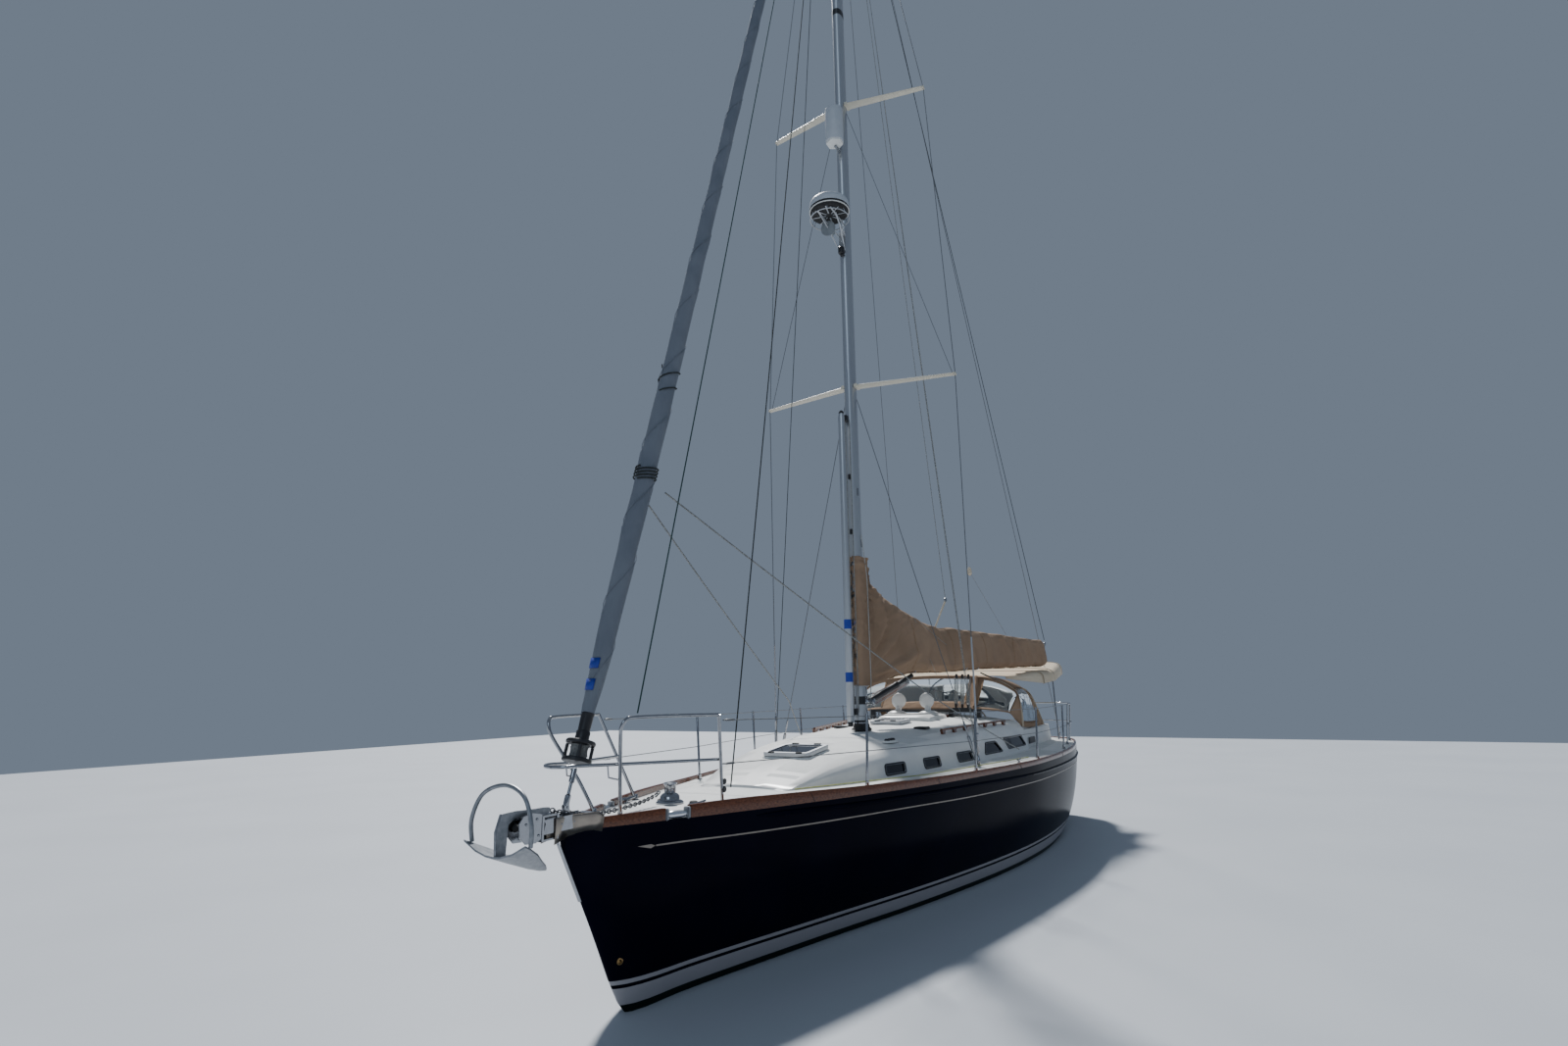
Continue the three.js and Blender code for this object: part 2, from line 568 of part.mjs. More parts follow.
// Radar on the mast front, reflector, and the spinnaker pole stowed upright.
const RADAR_Z = 8790;
const dome = turned([[0, 0], [225, 0], [281, 50], [281, 110], [246, 190], [138, 235], [0, 250]], 20);
add('radar_dome', dome.translate(1060, 0, RADAR_Z), WHITE);
add('radar_bracket', join(
  box(MAST.x + MAST.long / 2 + GAP, 1300, -60, 60, RADAR_Z - 45, RADAR_Z - GAP),
  bar([MAST.x + MAST.long / 2 + 12, 0, RADAR_Z - 320], [1000, 0, RADAR_Z - 30], 14, 8),
  box(MAST.x + MAST.long / 2 + GAP, MAST.x + MAST.long / 2 + 16, -50, 50, RADAR_Z - 370, RADAR_Z - 20),
), STEEL);
add('radar_reflector', bar([MAST.x + 285, 0, 10150], [MAST.x + 285, 0, 10720], 133, 16), WHITE);
const poleX = MAST.x + 232;
add('spinnaker_pole', join(
  bar([poleX, 0, 1790], [poleX, 0, 5980], 46, 12),
  box(MAST.x + MAST.long / 2 + GAP, poleX, -25, 25, 1950, 2020),
  box(MAST.x + MAST.long / 2 + GAP, poleX, -25, 25, 5840, 5910),
), ALLOY);

// Pulpit and pushpit: bent tube rails on their legs.
const foot = (x, y) => [x, y, deckTop(x, Math.abs(y)) + 4];
const PULPIT = {
  side: [[5363, 120, 1375], [5470, 198, 1620], [5636, 324, 1945], [5640, 342, 2020], [5570, 372, 2052],
    [5200, 470, 2055], [4808, 596, 2050]],
  low: [[4619, 483, 1660], [5490, 213, 1700], [5800, 150, 1722], [5936, 0, 1733]],
  aft: { x: 4493, y: 432, topX: 4808, topY: 596, topZ: 2050 },
};
const lowLoop = [...PULPIT.low, ...PULPIT.low.slice(0, -1).reverse().map(([x, y, z]) => [x, -y, z])];
let pulpit = tube(lowLoop, 12, 24);
for (const sign of [1, -1]) {
  const { x, y, topX, topY, topZ } = PULPIT.aft;
  pulpit = pulpit.add(tube(PULPIT.side.map(([px, py, pz]) => [px, sign * py, pz]), RAIL_R, 22))
    .add(bar([x, sign * y, deckTop(x, y) + 12], [topX, sign * topY, topZ], RAIL_R));
}
add('pulpit', pulpit, STEEL);

const pushpitTop = [[-4200, 1850, 1960], [-4900, 1790, 1960], [-5500, 1620, 1960], [-5660, 1200, 1960],
  [-5680, 0, 1960], [-5660, -1200, 1960], [-5500, -1620, 1960], [-4900, -1790, 1960], [-4200, -1850, 1960]];
const pushpitMid = pushpitTop.map(([x, y]) => [x, y, 1640]);
let pushpit = tube(pushpitTop, RAIL_R, 32).add(tube(pushpitMid, 10, 32));
for (const [x, y] of [[-4200, 1850], [-5100, 1740], [-5674, 700]]) {
  for (const sign of [1, -1]) pushpit = pushpit.add(bar(foot(x, sign * y), [x, sign * y, 1960], RAIL_R));
}
add('pushpit', pushpit, STEEL);

// Lifelines: stanchions tied into one piece by their two wires.
for (const [side, sign] of [['port', 1], ['starboard', -1]]) {
  const ends = [{ x: 4740, y: 591 }, ...STANCHIONS.map((x) => ({ x, y: deckHalf(x) - 75 })),
    { x: -4200 + 20, y: 1850 }];
  const wireZ = (x, share) => sheer(x) + DECK_THICK + STANCHION_H * share;
  let lines = null;
  for (let i = 0; i + 1 < ends.length; i++) {
    for (const share of [0.97, 0.5]) {
      const wire = bar([ends[i].x, sign * ends[i].y, wireZ(ends[i].x, share)],
        [ends[i + 1].x, sign * ends[i + 1].y, wireZ(ends[i + 1].x, share)], WIRE_R, 6);
      lines = lines ? lines.add(wire) : wire;
    }
  }
  for (const { x, y } of ends.slice(1, -1)) {
    const top = wireZ(x, 1);
    lines = lines.add(bar(foot(x, sign * y), [x, sign * y, top], RAIL_R));
  }
  add(`lifelines_${side}`, lines, STEEL);
}

// Taut lines of the headsail gear: both sheets, led past the shrouds up to the furled sail's
// clew, and the lift of the spinnaker pole.
const SHEET_LINE = [[-1100, 1620, 1420], [550, 1020, 2100], [4910, 118, 3850]];
const [clewX, , clewZ] = SHEET_LINE.at(-1);
let sheets = bar([clewX, -125, clewZ], [clewX, 125, clewZ], 10, 6);
for (const sign of [1, -1]) {
  sheets = sheets.add(loft(SHEET_LINE.map(([x, y, z]) => oval(14, 14, 6).getPoints().slice(0, 6)
    .map((p) => new THREE.Vector3(x, sign * y + p.x, z + p.y)))));
}
add('genoa_sheets', sheets, BLACK);
add('pole_lift', bar([720, 75, MAST.head - 30], [4480, 500, 1480], 6, 6), BLACK);

// Stem fittings: a wrapped stem plate with its roller cheeks, and the anchor with its roll bar.
const rollerZ = deckTop(5600, 0);
add('stem_plate', join(
  box(5560, 6250, -62, -52, rollerZ + 3, rollerZ + 110),
  box(5560, 6250, 52, 62, rollerZ + 3, rollerZ + 110),
  box(5560, 6060, -62, 62, rollerZ + 3, rollerZ + 12),
  bar([6190, -62, rollerZ + 30], [6190, 62, rollerZ + 30], 24, 12),
), STEEL);
const ANCHOR = { x: 6345, half: 264, z: 1342, top: 1682, tipX: 5944, tipZ: 1120 };
const fluke = (x, z, half, thick) => [[x, 0, z - 60], [x, half, z], [x, half, z + thick], [x, 0, z + thick - 60],
  [x, -half, z + thick], [x, -half, z]].map((p) => new THREE.Vector3(...p));
const anchor = join(
  tube([[ANCHOR.x, ANCHOR.half - 15, ANCHOR.z - 20], [ANCHOR.x, ANCHOR.half - 12, ANCHOR.z + 130],
    [ANCHOR.x - 10, 150, ANCHOR.top - 55], [ANCHOR.x - 20, 0, ANCHOR.top - 12],
    [ANCHOR.x - 10, -150, ANCHOR.top - 55], [ANCHOR.x, 12 - ANCHOR.half, ANCHOR.z + 130],
    [ANCHOR.x, 15 - ANCHOR.half, ANCHOR.z - 20]], 14, 20),
  loft([
    fluke(ANCHOR.x + 30, ANCHOR.z - 20, ANCHOR.half, 14),
    fluke(ANCHOR.x - 170, ANCHOR.z - 115, ANCHOR.half * 0.62, 14),
    fluke(ANCHOR.tipX, ANCHOR.tipZ + 30, 25, 12),
  ]),
  box(ANCHOR.x - 40, ANCHOR.x, -12, 12, ANCHOR.z - 100, 1500),
  box(5950, ANCHOR.x, -12, 12, 1455, 1500),
);
add('anchor', anchor, { color: 0x8d9396, roughness: 0.5, metalness: 0.8 });
const windlassZ = deckTop(4650, 0) + 3;
add('windlass', solid(turned([[0, 0], [110, 0], [110, 30], [60, 50], [60, 110], [90, 150], [0, 150]], 14)
  .translate(4650, 0, windlassZ)), STEEL);

// Deck gear: winches, cowl vents, grab rails and traveller.
for (const [side, sign] of [['port', 1], ['starboard', -1]]) {
  const drum = [[0, 0], [85, 0], [85, 20], [60, 60], [60, 110], [80, 150], [0, 150]];
  add(`winch_${side}`, turned(drum, 14).translate(-3900, sign * 1266, COCKPIT.top + GAP), STEEL);
  const grabY = (x) => sign * (900 - x * 0.14);
  const roofAt = (x) => along(COACHROOF, 'top', x) - 78;
  let rail = bar([-2050, grabY(-2050), roofAt(-2050) + 62], [40, grabY(40), roofAt(40) + 62], 16, 8);
  for (let x = -2000; x <= 0; x += 498) {
    rail = rail.add(box(x - 45, x + 45, grabY(x) - 14, grabY(x) + 14, roofAt(x) + 24, roofAt(x) + 62));
  }
  add(`grab_rail_${side}`, rail, TEAK);
  const ventX = -1500;
  const ventZ = slideZ + 105 + GAP;
  const ventY = sign * 250;
  add(`cowl_vent_${side}`, join(
    box(ventX - 170, ventX + 170, ventY - 90, ventY + 90, ventZ, ventZ + 60),
    bar([ventX, ventY, ventZ + 50], [ventX, ventY, ventZ + 110], 50, 12),
    bar([ventX - 60, ventY, ventZ + 150], [ventX + 70, ventY, ventZ + 150], 60, 14, 85),
    ball(ventX - 30, ventY, ventZ + 140, 72, 12),
  ), WHITE);
}
add('traveller', join(
  box(-2120, -2070, -900, 900, 1890, 1920),
  box(-2130, -2060, 430, 570, 1915, 1965),
), BLACK);

// Dodger over the companionway and bimini over the helm: covers on bent bows. Half a bow's line
// is given as shares of its half width and of its height. A row gives where its foot, its
// shoulder and its crown stand along the boat, its half width, its lower edge and its crown.
const DODGER_LINE = [[1, 0], [0.985, 0.58], [0.90, 0.76], [0.727, 0.91], [0.5, 0.97], [0, 1]];
const BIMINI_LINE = [[1, 0], [0.985, 0.62], [0.88, 0.90], [0.5, 0.975], [0, 1]];
const DODGER = [
  { foot: -4400, side: -3600, crown: -3450, half: 1385, low: 1612, top: 2440 },
  { foot: -3300, side: -3050, crown: -3000, half: 1385, low: 1612, top: 2465 },
  { foot: -2760, side: -2725, crown: -2700, half: 1360, low: 1640, top: 2445 },
  { foot: -2700, side: -2430, crown: -2200, half: 1270, low: 1748, top: 1926 },
];
const BIMINI = [
  { foot: -5600, side: -5600, crown: -5600, half: 1600, low: 2480, top: 2740 },
  { foot: -4850, side: -4850, crown: -4850, half: 1580, low: 2360, top: 2600 },
  { foot: -4100, side: -4100, crown: -4100, half: 1520, low: 2310, top: 2545 },
  { foot: -3500, side: -3500, crown: -3500, half: 1000, low: 2390, top: 2450 },
];
function arch(line, row, inset) {
  const tall = row.top - inset - row.low;
  const shoulder = line[1][1];
  const port = line.map(([wide, high]) => {
    const x = high > 0 ? row.side + (row.crown - row.side) * (high - shoulder) / (1 - shoulder) : row.foot;
    return new THREE.Vector3(x, wide * (row.half - inset), row.low + tall * high);
  });
  const starboard = port.slice(0, -1).reverse().map((p) => new THREE.Vector3(p.x, -p.y, p.z));
  return [...port, ...starboard];
}
function canopy(line, rows, thick) {
  return loft(rows.map((row) => [...arch(line, row, 0), ...arch(line, row, thick).reverse()]));
}
function bow(line, row, inset, footX, footZ) {
  const y = row.half - inset;
  const over = arch(line, row, inset).slice(1, -1).map((p) => p.toArray());
  return tube([[footX, y, footZ], ...over, [footX, -y, footZ]], 12, 30);
}
const slots = [1, -1].map((sign) => bar([-5500, sign * 1480, 1400], [262, sign * 52, MAST.head + 30], 40, 10));
add('dodger_cover', canopy(DODGER_LINE, DODGER, 14), CANVAS);
add('dodger_frame', bow(DODGER_LINE, DODGER[0], 45, -3640, COCKPIT.top + 4), STEEL);
add('bimini_cover', canopy(BIMINI_LINE, BIMINI, 12).subtract(join(...slots)), CANVAS);
add('bimini_frame', bow(BIMINI_LINE, BIMINI[1], 45, -4850, deckTop(-4850, 1540) + 4), STEEL);

// Steering pedestal and wheel.
add('pedestal', join(
  bar([-4330, 0, COCKPIT.sole + GAP], [-4330, 0, 1500], 90, 12, 70),
  bar([-4410, 0, 1520], [-4280, 0, 1520], 50, 12),
  bar([-4330, 0, 1500], [-4330, 0, 1640], 75, 12),
), WHITE);
const wheelX = -4450;
let wheel = solid(new THREE.TorusGeometry(440, 14, 6, 32).rotateY(Math.PI / 2).translate(wheelX, 0, 1520));
wheel = wheel.add(bar([wheelX - 25, 0, 1520], [wheelX + 30, 0, 1520], 35, 12));
for (let k = 0; k < 5; k++) {
  const a = (k / 5) * Math.PI * 2;
  wheel = wheel.add(bar([wheelX, 0, 1520], [wheelX, 440 * Math.cos(a), 1520 + 440 * Math.sin(a)], 8, 6));
}
add('steering_wheel', wheel, STEEL);

export default boat;
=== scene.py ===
"""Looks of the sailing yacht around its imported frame.

Metres. +X runs forward, +Y to port and +Z up, from the middle of the waterline.
"""
import math

import bmesh
import bpy
from mathutils import Matrix, Vector, noise


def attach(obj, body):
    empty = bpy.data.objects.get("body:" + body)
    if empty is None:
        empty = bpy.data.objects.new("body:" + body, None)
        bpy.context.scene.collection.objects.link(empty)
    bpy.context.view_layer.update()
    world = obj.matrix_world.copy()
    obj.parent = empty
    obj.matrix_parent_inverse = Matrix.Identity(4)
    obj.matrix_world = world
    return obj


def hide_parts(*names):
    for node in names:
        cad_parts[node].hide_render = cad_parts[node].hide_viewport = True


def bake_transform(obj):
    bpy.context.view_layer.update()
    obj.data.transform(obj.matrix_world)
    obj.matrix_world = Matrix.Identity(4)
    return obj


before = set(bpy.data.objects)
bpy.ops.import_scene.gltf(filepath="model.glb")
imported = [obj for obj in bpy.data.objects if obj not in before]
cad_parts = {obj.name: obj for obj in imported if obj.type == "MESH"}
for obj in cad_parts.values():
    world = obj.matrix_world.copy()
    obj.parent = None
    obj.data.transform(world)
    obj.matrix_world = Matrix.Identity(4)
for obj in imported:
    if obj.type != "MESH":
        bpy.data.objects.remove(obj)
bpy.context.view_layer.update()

# Camera as fitted to the photograph: place, direction in degrees and focal length in pixels.
CAMERA_AT = (9.946, 3.888, 2.205)
CAMERA_YAW, CAMERA_PITCH, CAMERA_ROLL = 207.77, 12.46, -0.76
CAMERA_FOCUS_PX = 784.6
PICTURE_WIDTH_PX = 1600

# Sunlight runs from high above the starboard quarter in the photograph; a soft fill comes from ahead.
SUN_WAY = Vector((0.488, 0.401, -0.774))
FILL_WAY = Vector((-0.80, -0.20, -0.55))

# Hull stations: x, half breadth at the deck, lowest point, fullness and belly of the section.
STATIONS = [
    (-5.85, 1.200, 0.330, 2.2, 0.36),
    (-5.82, 1.370, 0.300, 2.2, 0.36),
    (-5.74, 1.510, 0.260, 2.2, 0.36),
    (-5.60, 1.640, 0.190, 2.2, 0.35),
    (-5.35, 1.745, 0.085, 2.2, 0.33),
    (-5.10, 1.800, -0.012, 2.2, 0.31),
    (-4.65, 1.870, -0.110, 2.2, 0.25),
    (-3.72, 1.960, -0.270, 2.2, 0.17),
    (-2.79, 1.975, -0.400, 2.2, 0.177),
    (-1.86, 1.940, -0.490, 2.2, 0.202),
    (-0.93, 1.860, -0.545, 2.2, 0.263),
    (0.00, 1.710, -0.560, 2.1, 0.304),
    (0.93, 1.530, -0.540, 2.0, 0.370),
    (1.86, 1.320, -0.490, 1.9, 0.443),
    (2.79, 1.060, -0.405, 1.8, 0.515),
    (3.72, 0.780, -0.290, 1.7, 0.576),
    (4.65, 0.470, -0.130, 1.6, 0.658),
    (5.10, 0.310, -0.008, 1.5, 0.68),
    (5.48, 0.165, 0.620, 1.4, 0.70),
    (5.80, 0.034, 1.180, 1.3, 0.70),
]
STERN = STATIONS[0][0]
DECK_THICK = 0.040
DECK_CAMBER = 0.070

# Coachroof: x, half width at its foot, centre height and shoulder height.
COACHROOF = [
    (-2.70, 1.430, 1.840, 1.670),
    (-1.40, 1.350, 1.800, 1.630),
    (-0.20, 1.200, 1.755, 1.595),
    (0.90, 1.050, 1.700, 1.585),
    (1.90, 0.880, 1.620, 1.550),
    (2.80, 0.680, 1.520, 1.460),
    (3.45, 0.480, 1.370, 1.330),
]
ROOF_AFT, ROOF_FORE = COACHROOF[0][0], COACHROOF[-1][0]
# Windows: aft and forward end of the lower edge, low, high, shifts of the upper corners.
WINDOWS = [
    (-2.600, -1.660, 1.385, 1.540, 0.180, 0.170),
    (-1.360, -0.680, 1.372, 1.519, 0.210, -0.090),
    (-0.285, 0.190, 1.342, 1.453, 0.045, 0.030),
    (0.700, 1.120, 1.342, 1.453, 0.020, 0.015),
    (1.560, 1.975, 1.342, 1.453, 0.000, 0.000),
]
# Hatches: node, body, middle, size.
HATCHES = [
    ("foredeck_hatch_lid", "foredeck_hatch", 2.350, 0.540),
    ("midship_hatch_lid", "midship_hatch", -0.560, 0.460),
]
COCKPIT_FORE, COCKPIT_AFT, COCKPIT_HALF = -2.730, -5.050, 1.400
SOLE, SEAT, COAMING, WELL = 0.640, 1.070, 1.600, 0.400

# Rig. The boom lies swung out to port.
MAST_X, MAST_LONG, MAST_WIDE = 0.505, 0.230, 0.150
MAST_FOOT, MAST_HEAD = 1.770, 18.300
SPREADERS = [(6.390, 1.420), (10.970, 1.230)]
SWEEP = math.tan(math.radians(10))
CHAINPLATE = Vector((0.220, 1.400, 1.350))
STAY_LOW, STAY_TOP = Vector((5.80, 0, 1.44)), Vector((0.70, 0, 18.25))
GOOSENECK = Vector((0.270, 0, 2.545))
BOOM_LENGTH = 5.230
BOOM_SWING = math.radians(15.8)
BOOM_RISE = math.tan(math.radians(2.1))
# Sail cover: distance behind the gooseneck, lowest and highest point, half width.
COVER = [
    (-0.385, 2.282, 3.965, 0.022),
    (-0.350, 2.282, 3.965, 0.070),
    (-0.280, 2.282, 3.965, 0.098),
    (-0.090, 2.282, 3.962, 0.098),
    (-0.060, 2.284, 3.930, 0.098),
    (-0.030, 2.285, 3.760, 0.100),
    (0.130, 2.295, 3.675, 0.115),
    (0.400, 2.355, 3.500, 0.140),
    (0.680, 2.415, 3.392, 0.160),
    (1.000, 2.458, 3.290, 0.170),
    (1.470, 2.472, 3.175, 0.170),
    (1.760, 2.478, 3.135, 0.165),
    (2.060, 2.495, 3.139, 0.162),
    (3.030, 2.545, 3.128, 0.150),
    (4.360, 2.592, 3.092, 0.135),
    (5.160, 2.620, 3.078, 0.125),
]
# Heights of the teak rail above the sheer, and drops of the rubbing strip and of the cove line below it.
RAIL_HEIGHTS = [(-5.85, 0.062), (-1.6, 0.062), (0.9, 0.068), (2.0, 0.074), (3.0, 0.082), (4.0, 0.098),
                (4.65, 0.098), (5.57, 0.068)]
STRIP_DROPS = [(-5.85, 0.130), (-2.5, 0.115), (-0.85, 0.108), (0.1, 0.093), (0.9, 0.080), (2.1, 0.074),
               (3.0, 0.070), (4.25, 0.047)]
COVE_DROPS = [(-5.85, 0.210), (-1.5, 0.205), (-0.33, 0.201), (0.9, 0.196), (2.1, 0.178), (3.0, 0.177),
              (3.95, 0.174), (4.55, 0.169), (4.9, 0.162), (5.3, 0.163)]


def along(table, column, x):
    """Value of one column at x, on a smooth curve through the table's rows."""
    i = max([k for k in range(len(table) - 1) if table[k][0] <= x], default=0)
    a, b = table[i], table[i + 1]
    before, after = table[max(i - 1, 0)], table[min(i + 2, len(table) - 1)]
    slope_a = (b[column] - before[column]) / (b[0] - before[0])
    slope_b = (after[column] - a[column]) / (after[0] - a[0])
    span = b[0] - a[0]
    t = min(max((x - a[0]) / span, 0.0), 1.0)
    t2, t3 = t * t, t ** 3
    return ((2 * t3 - 3 * t2 + 1) * a[column] + (t3 - 2 * t2 + t) * span * slope_a
            + (3 * t2 - 2 * t3) * b[column] + (t3 - t2) * span * slope_b)


def sheer(x):
    return 1.24 + 0.00152 * (x + 1.4) ** 2


def deck_half(x):
    return along(STATIONS, 1, x)


def deck_top(x, y):
    half = deck_half(x)
    return sheer(x) + DECK_THICK + DECK_CAMBER * (half / 1.975) * (1 - (y / half) ** 2)


def hull_point(x, u):
    """Point of the port side at x, with u from 0 at the keel line to 1 at the sheer."""
    half, keel, full, belly = (along(STATIONS, c, x) for c in (1, 2, 3, 4))
    return Vector((x, half * (1 - (1 - u) ** full) ** belly, keel + (sheer(x) - keel) * u))


def side_at(x, z, out=0.0):
    """Point of the port side at x and height z, moved out from the skin."""
    keel = along(STATIONS, 2, x)
    point = hull_point(x, min(max((z - keel) / (sheer(x) - keel), 0.001), 1.0))
    point.y += out
    return point


def roof_half_line(x):
    """Coachroof's port half at x, from its foot up to the middle, as points (y, z)."""
    foot = along(COACHROOF, 1, x)
    top, shoulder = along(COACHROOF, 2, x), along(COACHROOF, 3, x)
    base = deck_top(x, foot)
    rise = max(shoulder - base, 0.01)
    lean = min(rise, 0.3) / 0.3
    line = [(foot + 0.012 * lean, base), (foot, base + rise * 0.08),
            (foot - 0.013 * lean, base + rise * 0.35), (foot - 0.026 * lean, base + rise * 0.62),
            (foot - 0.048 * lean, base + rise * 0.84), (foot - 0.08 * lean, shoulder - 0.02 * lean),
            (foot - 0.12 * lean, shoulder + (top - shoulder) * 0.18)]
    inner = foot - 0.16 * lean
    for share in (1, 0.8, 0.6, 0.4, 0.2, 0):
        line.append((inner * share, top - (top - shoulder) * 0.65 * share ** 2))
    return line


def roof_side(x, z):
    """How far out the coachroof's side stands at x and height z."""
    line = roof_half_line(x)
    for (y0, z0), (y1, z1) in zip(line, line[1:]):
        if z0 <= z <= z1:
            return y0 + (y1 - y0) * (z - z0) / (z1 - z0)
    return line[0][0]


def roof_top(x, y):
    """Height of the coachroof at x and breadth y."""
    line = roof_half_line(x)
    for (y0, z0), (y1, z1) in zip(line, line[1:]):
        if y1 <= abs(y) <= y0:
            return z0 + (z1 - z0) * (y0 - abs(y)) / max(y0 - y1, 1e-6)
    return line[0][1]


def stay_at(z, around=0.0, radius=0.0):
    """Point at height z on the forestay, or beside it at an angle and radius."""
    point = STAY_LOW.lerp(STAY_TOP, (z - STAY_LOW.z) / (STAY_TOP.z - STAY_LOW.z))
    return point + Vector((math.cos(around), math.sin(around), 0)) * radius


def boom_at(back, side=0.0, up=0.0):
    """Point behind the gooseneck along the swung boom, to its side and above the gooseneck."""
    c, s = math.cos(BOOM_SWING), math.sin(BOOM_SWING)
    return GOOSENECK + Vector((-back * c + side * s, back * s + side * c, up))


# Materials

def material(name, color, rough=0.5, metal=0.0, coat=0.0, mottle=None, stretch=(1, 1, 1), bump=None,
             weave=None, clear=0.0, spec=0.5, ior=1.5, depth=0.002):
    """Principled material with optional colour variation, bump of some depth, woven threads and clearness."""
    mat = bpy.data.materials.new(name)
    mat.use_nodes = True
    nodes, links = mat.node_tree.nodes, mat.node_tree.links
    shader = nodes["Principled BSDF"]
    shader.inputs["Base Color"].default_value = (*color, 1)
    shader.inputs["Roughness"].default_value = rough
    shader.inputs["Metallic"].default_value = metal
    shader.inputs["Coat Weight"].default_value = coat
    shader.inputs["Coat Roughness"].default_value = 0.05
    shader.inputs["Transmission Weight"].default_value = clear
    shader.inputs["Specular IOR Level"].default_value = spec
    shader.inputs["IOR"].default_value = ior
    place = nodes.new("ShaderNodeTexCoord").outputs["Object"]
    if mottle:
        scale, other = mottle
        mapping = nodes.new("ShaderNodeMapping")
        mapping.inputs["Scale"].default_value = stretch
        links.new(place, mapping.inputs["Vector"])
        cloud = nodes.new("ShaderNodeTexNoise")
        cloud.inputs["Scale"].default_value = scale
        cloud.inputs["Detail"].default_value = 6
        links.new(mapping.outputs["Vector"], cloud.inputs["Vector"])
        ramp = nodes.new("ShaderNodeValToRGB")
        ramp.color_ramp.elements[0].position = 0.35
        ramp.color_ramp.elements[0].color = (*color, 1)
        ramp.color_ramp.elements[1].position = 0.68
        ramp.color_ramp.elements[1].color = (*other, 1)
        links.new(cloud.outputs["Fac"], ramp.inputs["Fac"])
        links.new(ramp.outputs["Color"], shader.inputs["Base Color"])
    heights = []
    if bump:
        scale, strength = bump
        grain = nodes.new("ShaderNodeTexNoise")
        grain.inputs["Scale"].default_value = scale
        grain.inputs["Detail"].default_value = 4
        links.new(place, grain.inputs["Vector"])
        heights.append((grain.outputs["Fac"], strength, depth))
    if weave:
        scale, strength = weave
        for direction in ("X", "Z"):
            thread = nodes.new("ShaderNodeTexWave")
            thread.bands_direction = direction
            thread.inputs["Scale"].default_value = scale
            links.new(place, thread.inputs["Vector"])
            heights.append((thread.outputs["Fac"], strength, 0.002))
    normal = None
    for height, strength, rise in heights:
        dent = nodes.new("ShaderNodeBump")
        dent.inputs["Strength"].default_value = strength
        dent.inputs["Distance"].default_value = rise
        links.new(height, dent.inputs["Height"])
        if normal:
            links.new(normal, dent.inputs["Normal"])
        normal = dent.outputs["Normal"]
    if normal:
        links.new(normal, shader.inputs["Normal"])
    return mat


def banded(mat, bands, top):
    """Lays flat bands of colour by height over a material, below the height top."""
    nodes, links = mat.node_tree.nodes, mat.node_tree.links
    shader = nodes["Principled BSDF"]
    plain = shader.inputs["Base Color"].links[0].from_socket
    split = nodes.new("ShaderNodeSeparateXYZ")
    links.new(nodes.new("ShaderNodeTexCoord").outputs["Object"], split.inputs["Vector"])
    ramp = nodes.new("ShaderNodeValToRGB")
    ramp.color_ramp.interpolation = "CONSTANT"
    steps = ramp.color_ramp.elements
    steps[1].position = bands[-1][0]
    steps[1].color = (*bands[-1][1], 1)
    steps[0].color = (*bands[0][1], 1)
    for position, color in bands[1:-1]:
        steps.new(position).color = (*color, 1)
    links.new(split.outputs["Z"], ramp.inputs["Fac"])
    over = nodes.new("ShaderNodeMath")
    over.operation = "GREATER_THAN"
    over.inputs[1].default_value = top
    links.new(split.outputs["Z"], over.inputs[0])
    mix = nodes.new("ShaderNodeMix")
    mix.data_type = "RGBA"
    links.new(over.outputs["Value"], mix.inputs["Factor"])
    links.new(ramp.outputs["Color"], mix.inputs["A"])
    links.new(plain, mix.inputs["B"])
    links.new(mix.outputs["Result"], shader.inputs["Base Color"])
    return mat


NAVY = material("navy_gelcoat", (0.002, 0.0022, 0.0075), 0.2, mottle=(1.5, (0.0028, 0.0032, 0.011)),
                bump=(6, 0.02), ior=1.08)
# The white boot stripe and the thin line above it are coloured grey: painted shade.
BOTTOM, STRIPE_WITH_PAINTED_SHADE, GAP_BLUE = (0.006, 0.014, 0.013), (0.4, 0.385, 0.4), (0.0025, 0.003, 0.008)
# Heights over the water at which the bands of the hull's colours begin.
HULL_BANDS = [(0.0, BOTTOM), (0.06, STRIPE_WITH_PAINTED_SHADE), (0.19, GAP_BLUE), (0.215, STRIPE_WITH_PAINTED_SHADE), (0.25, STRIPE_WITH_PAINTED_SHADE)]
# Threads of a laid rope.
LAID = {"weave": (300, 0.6)}
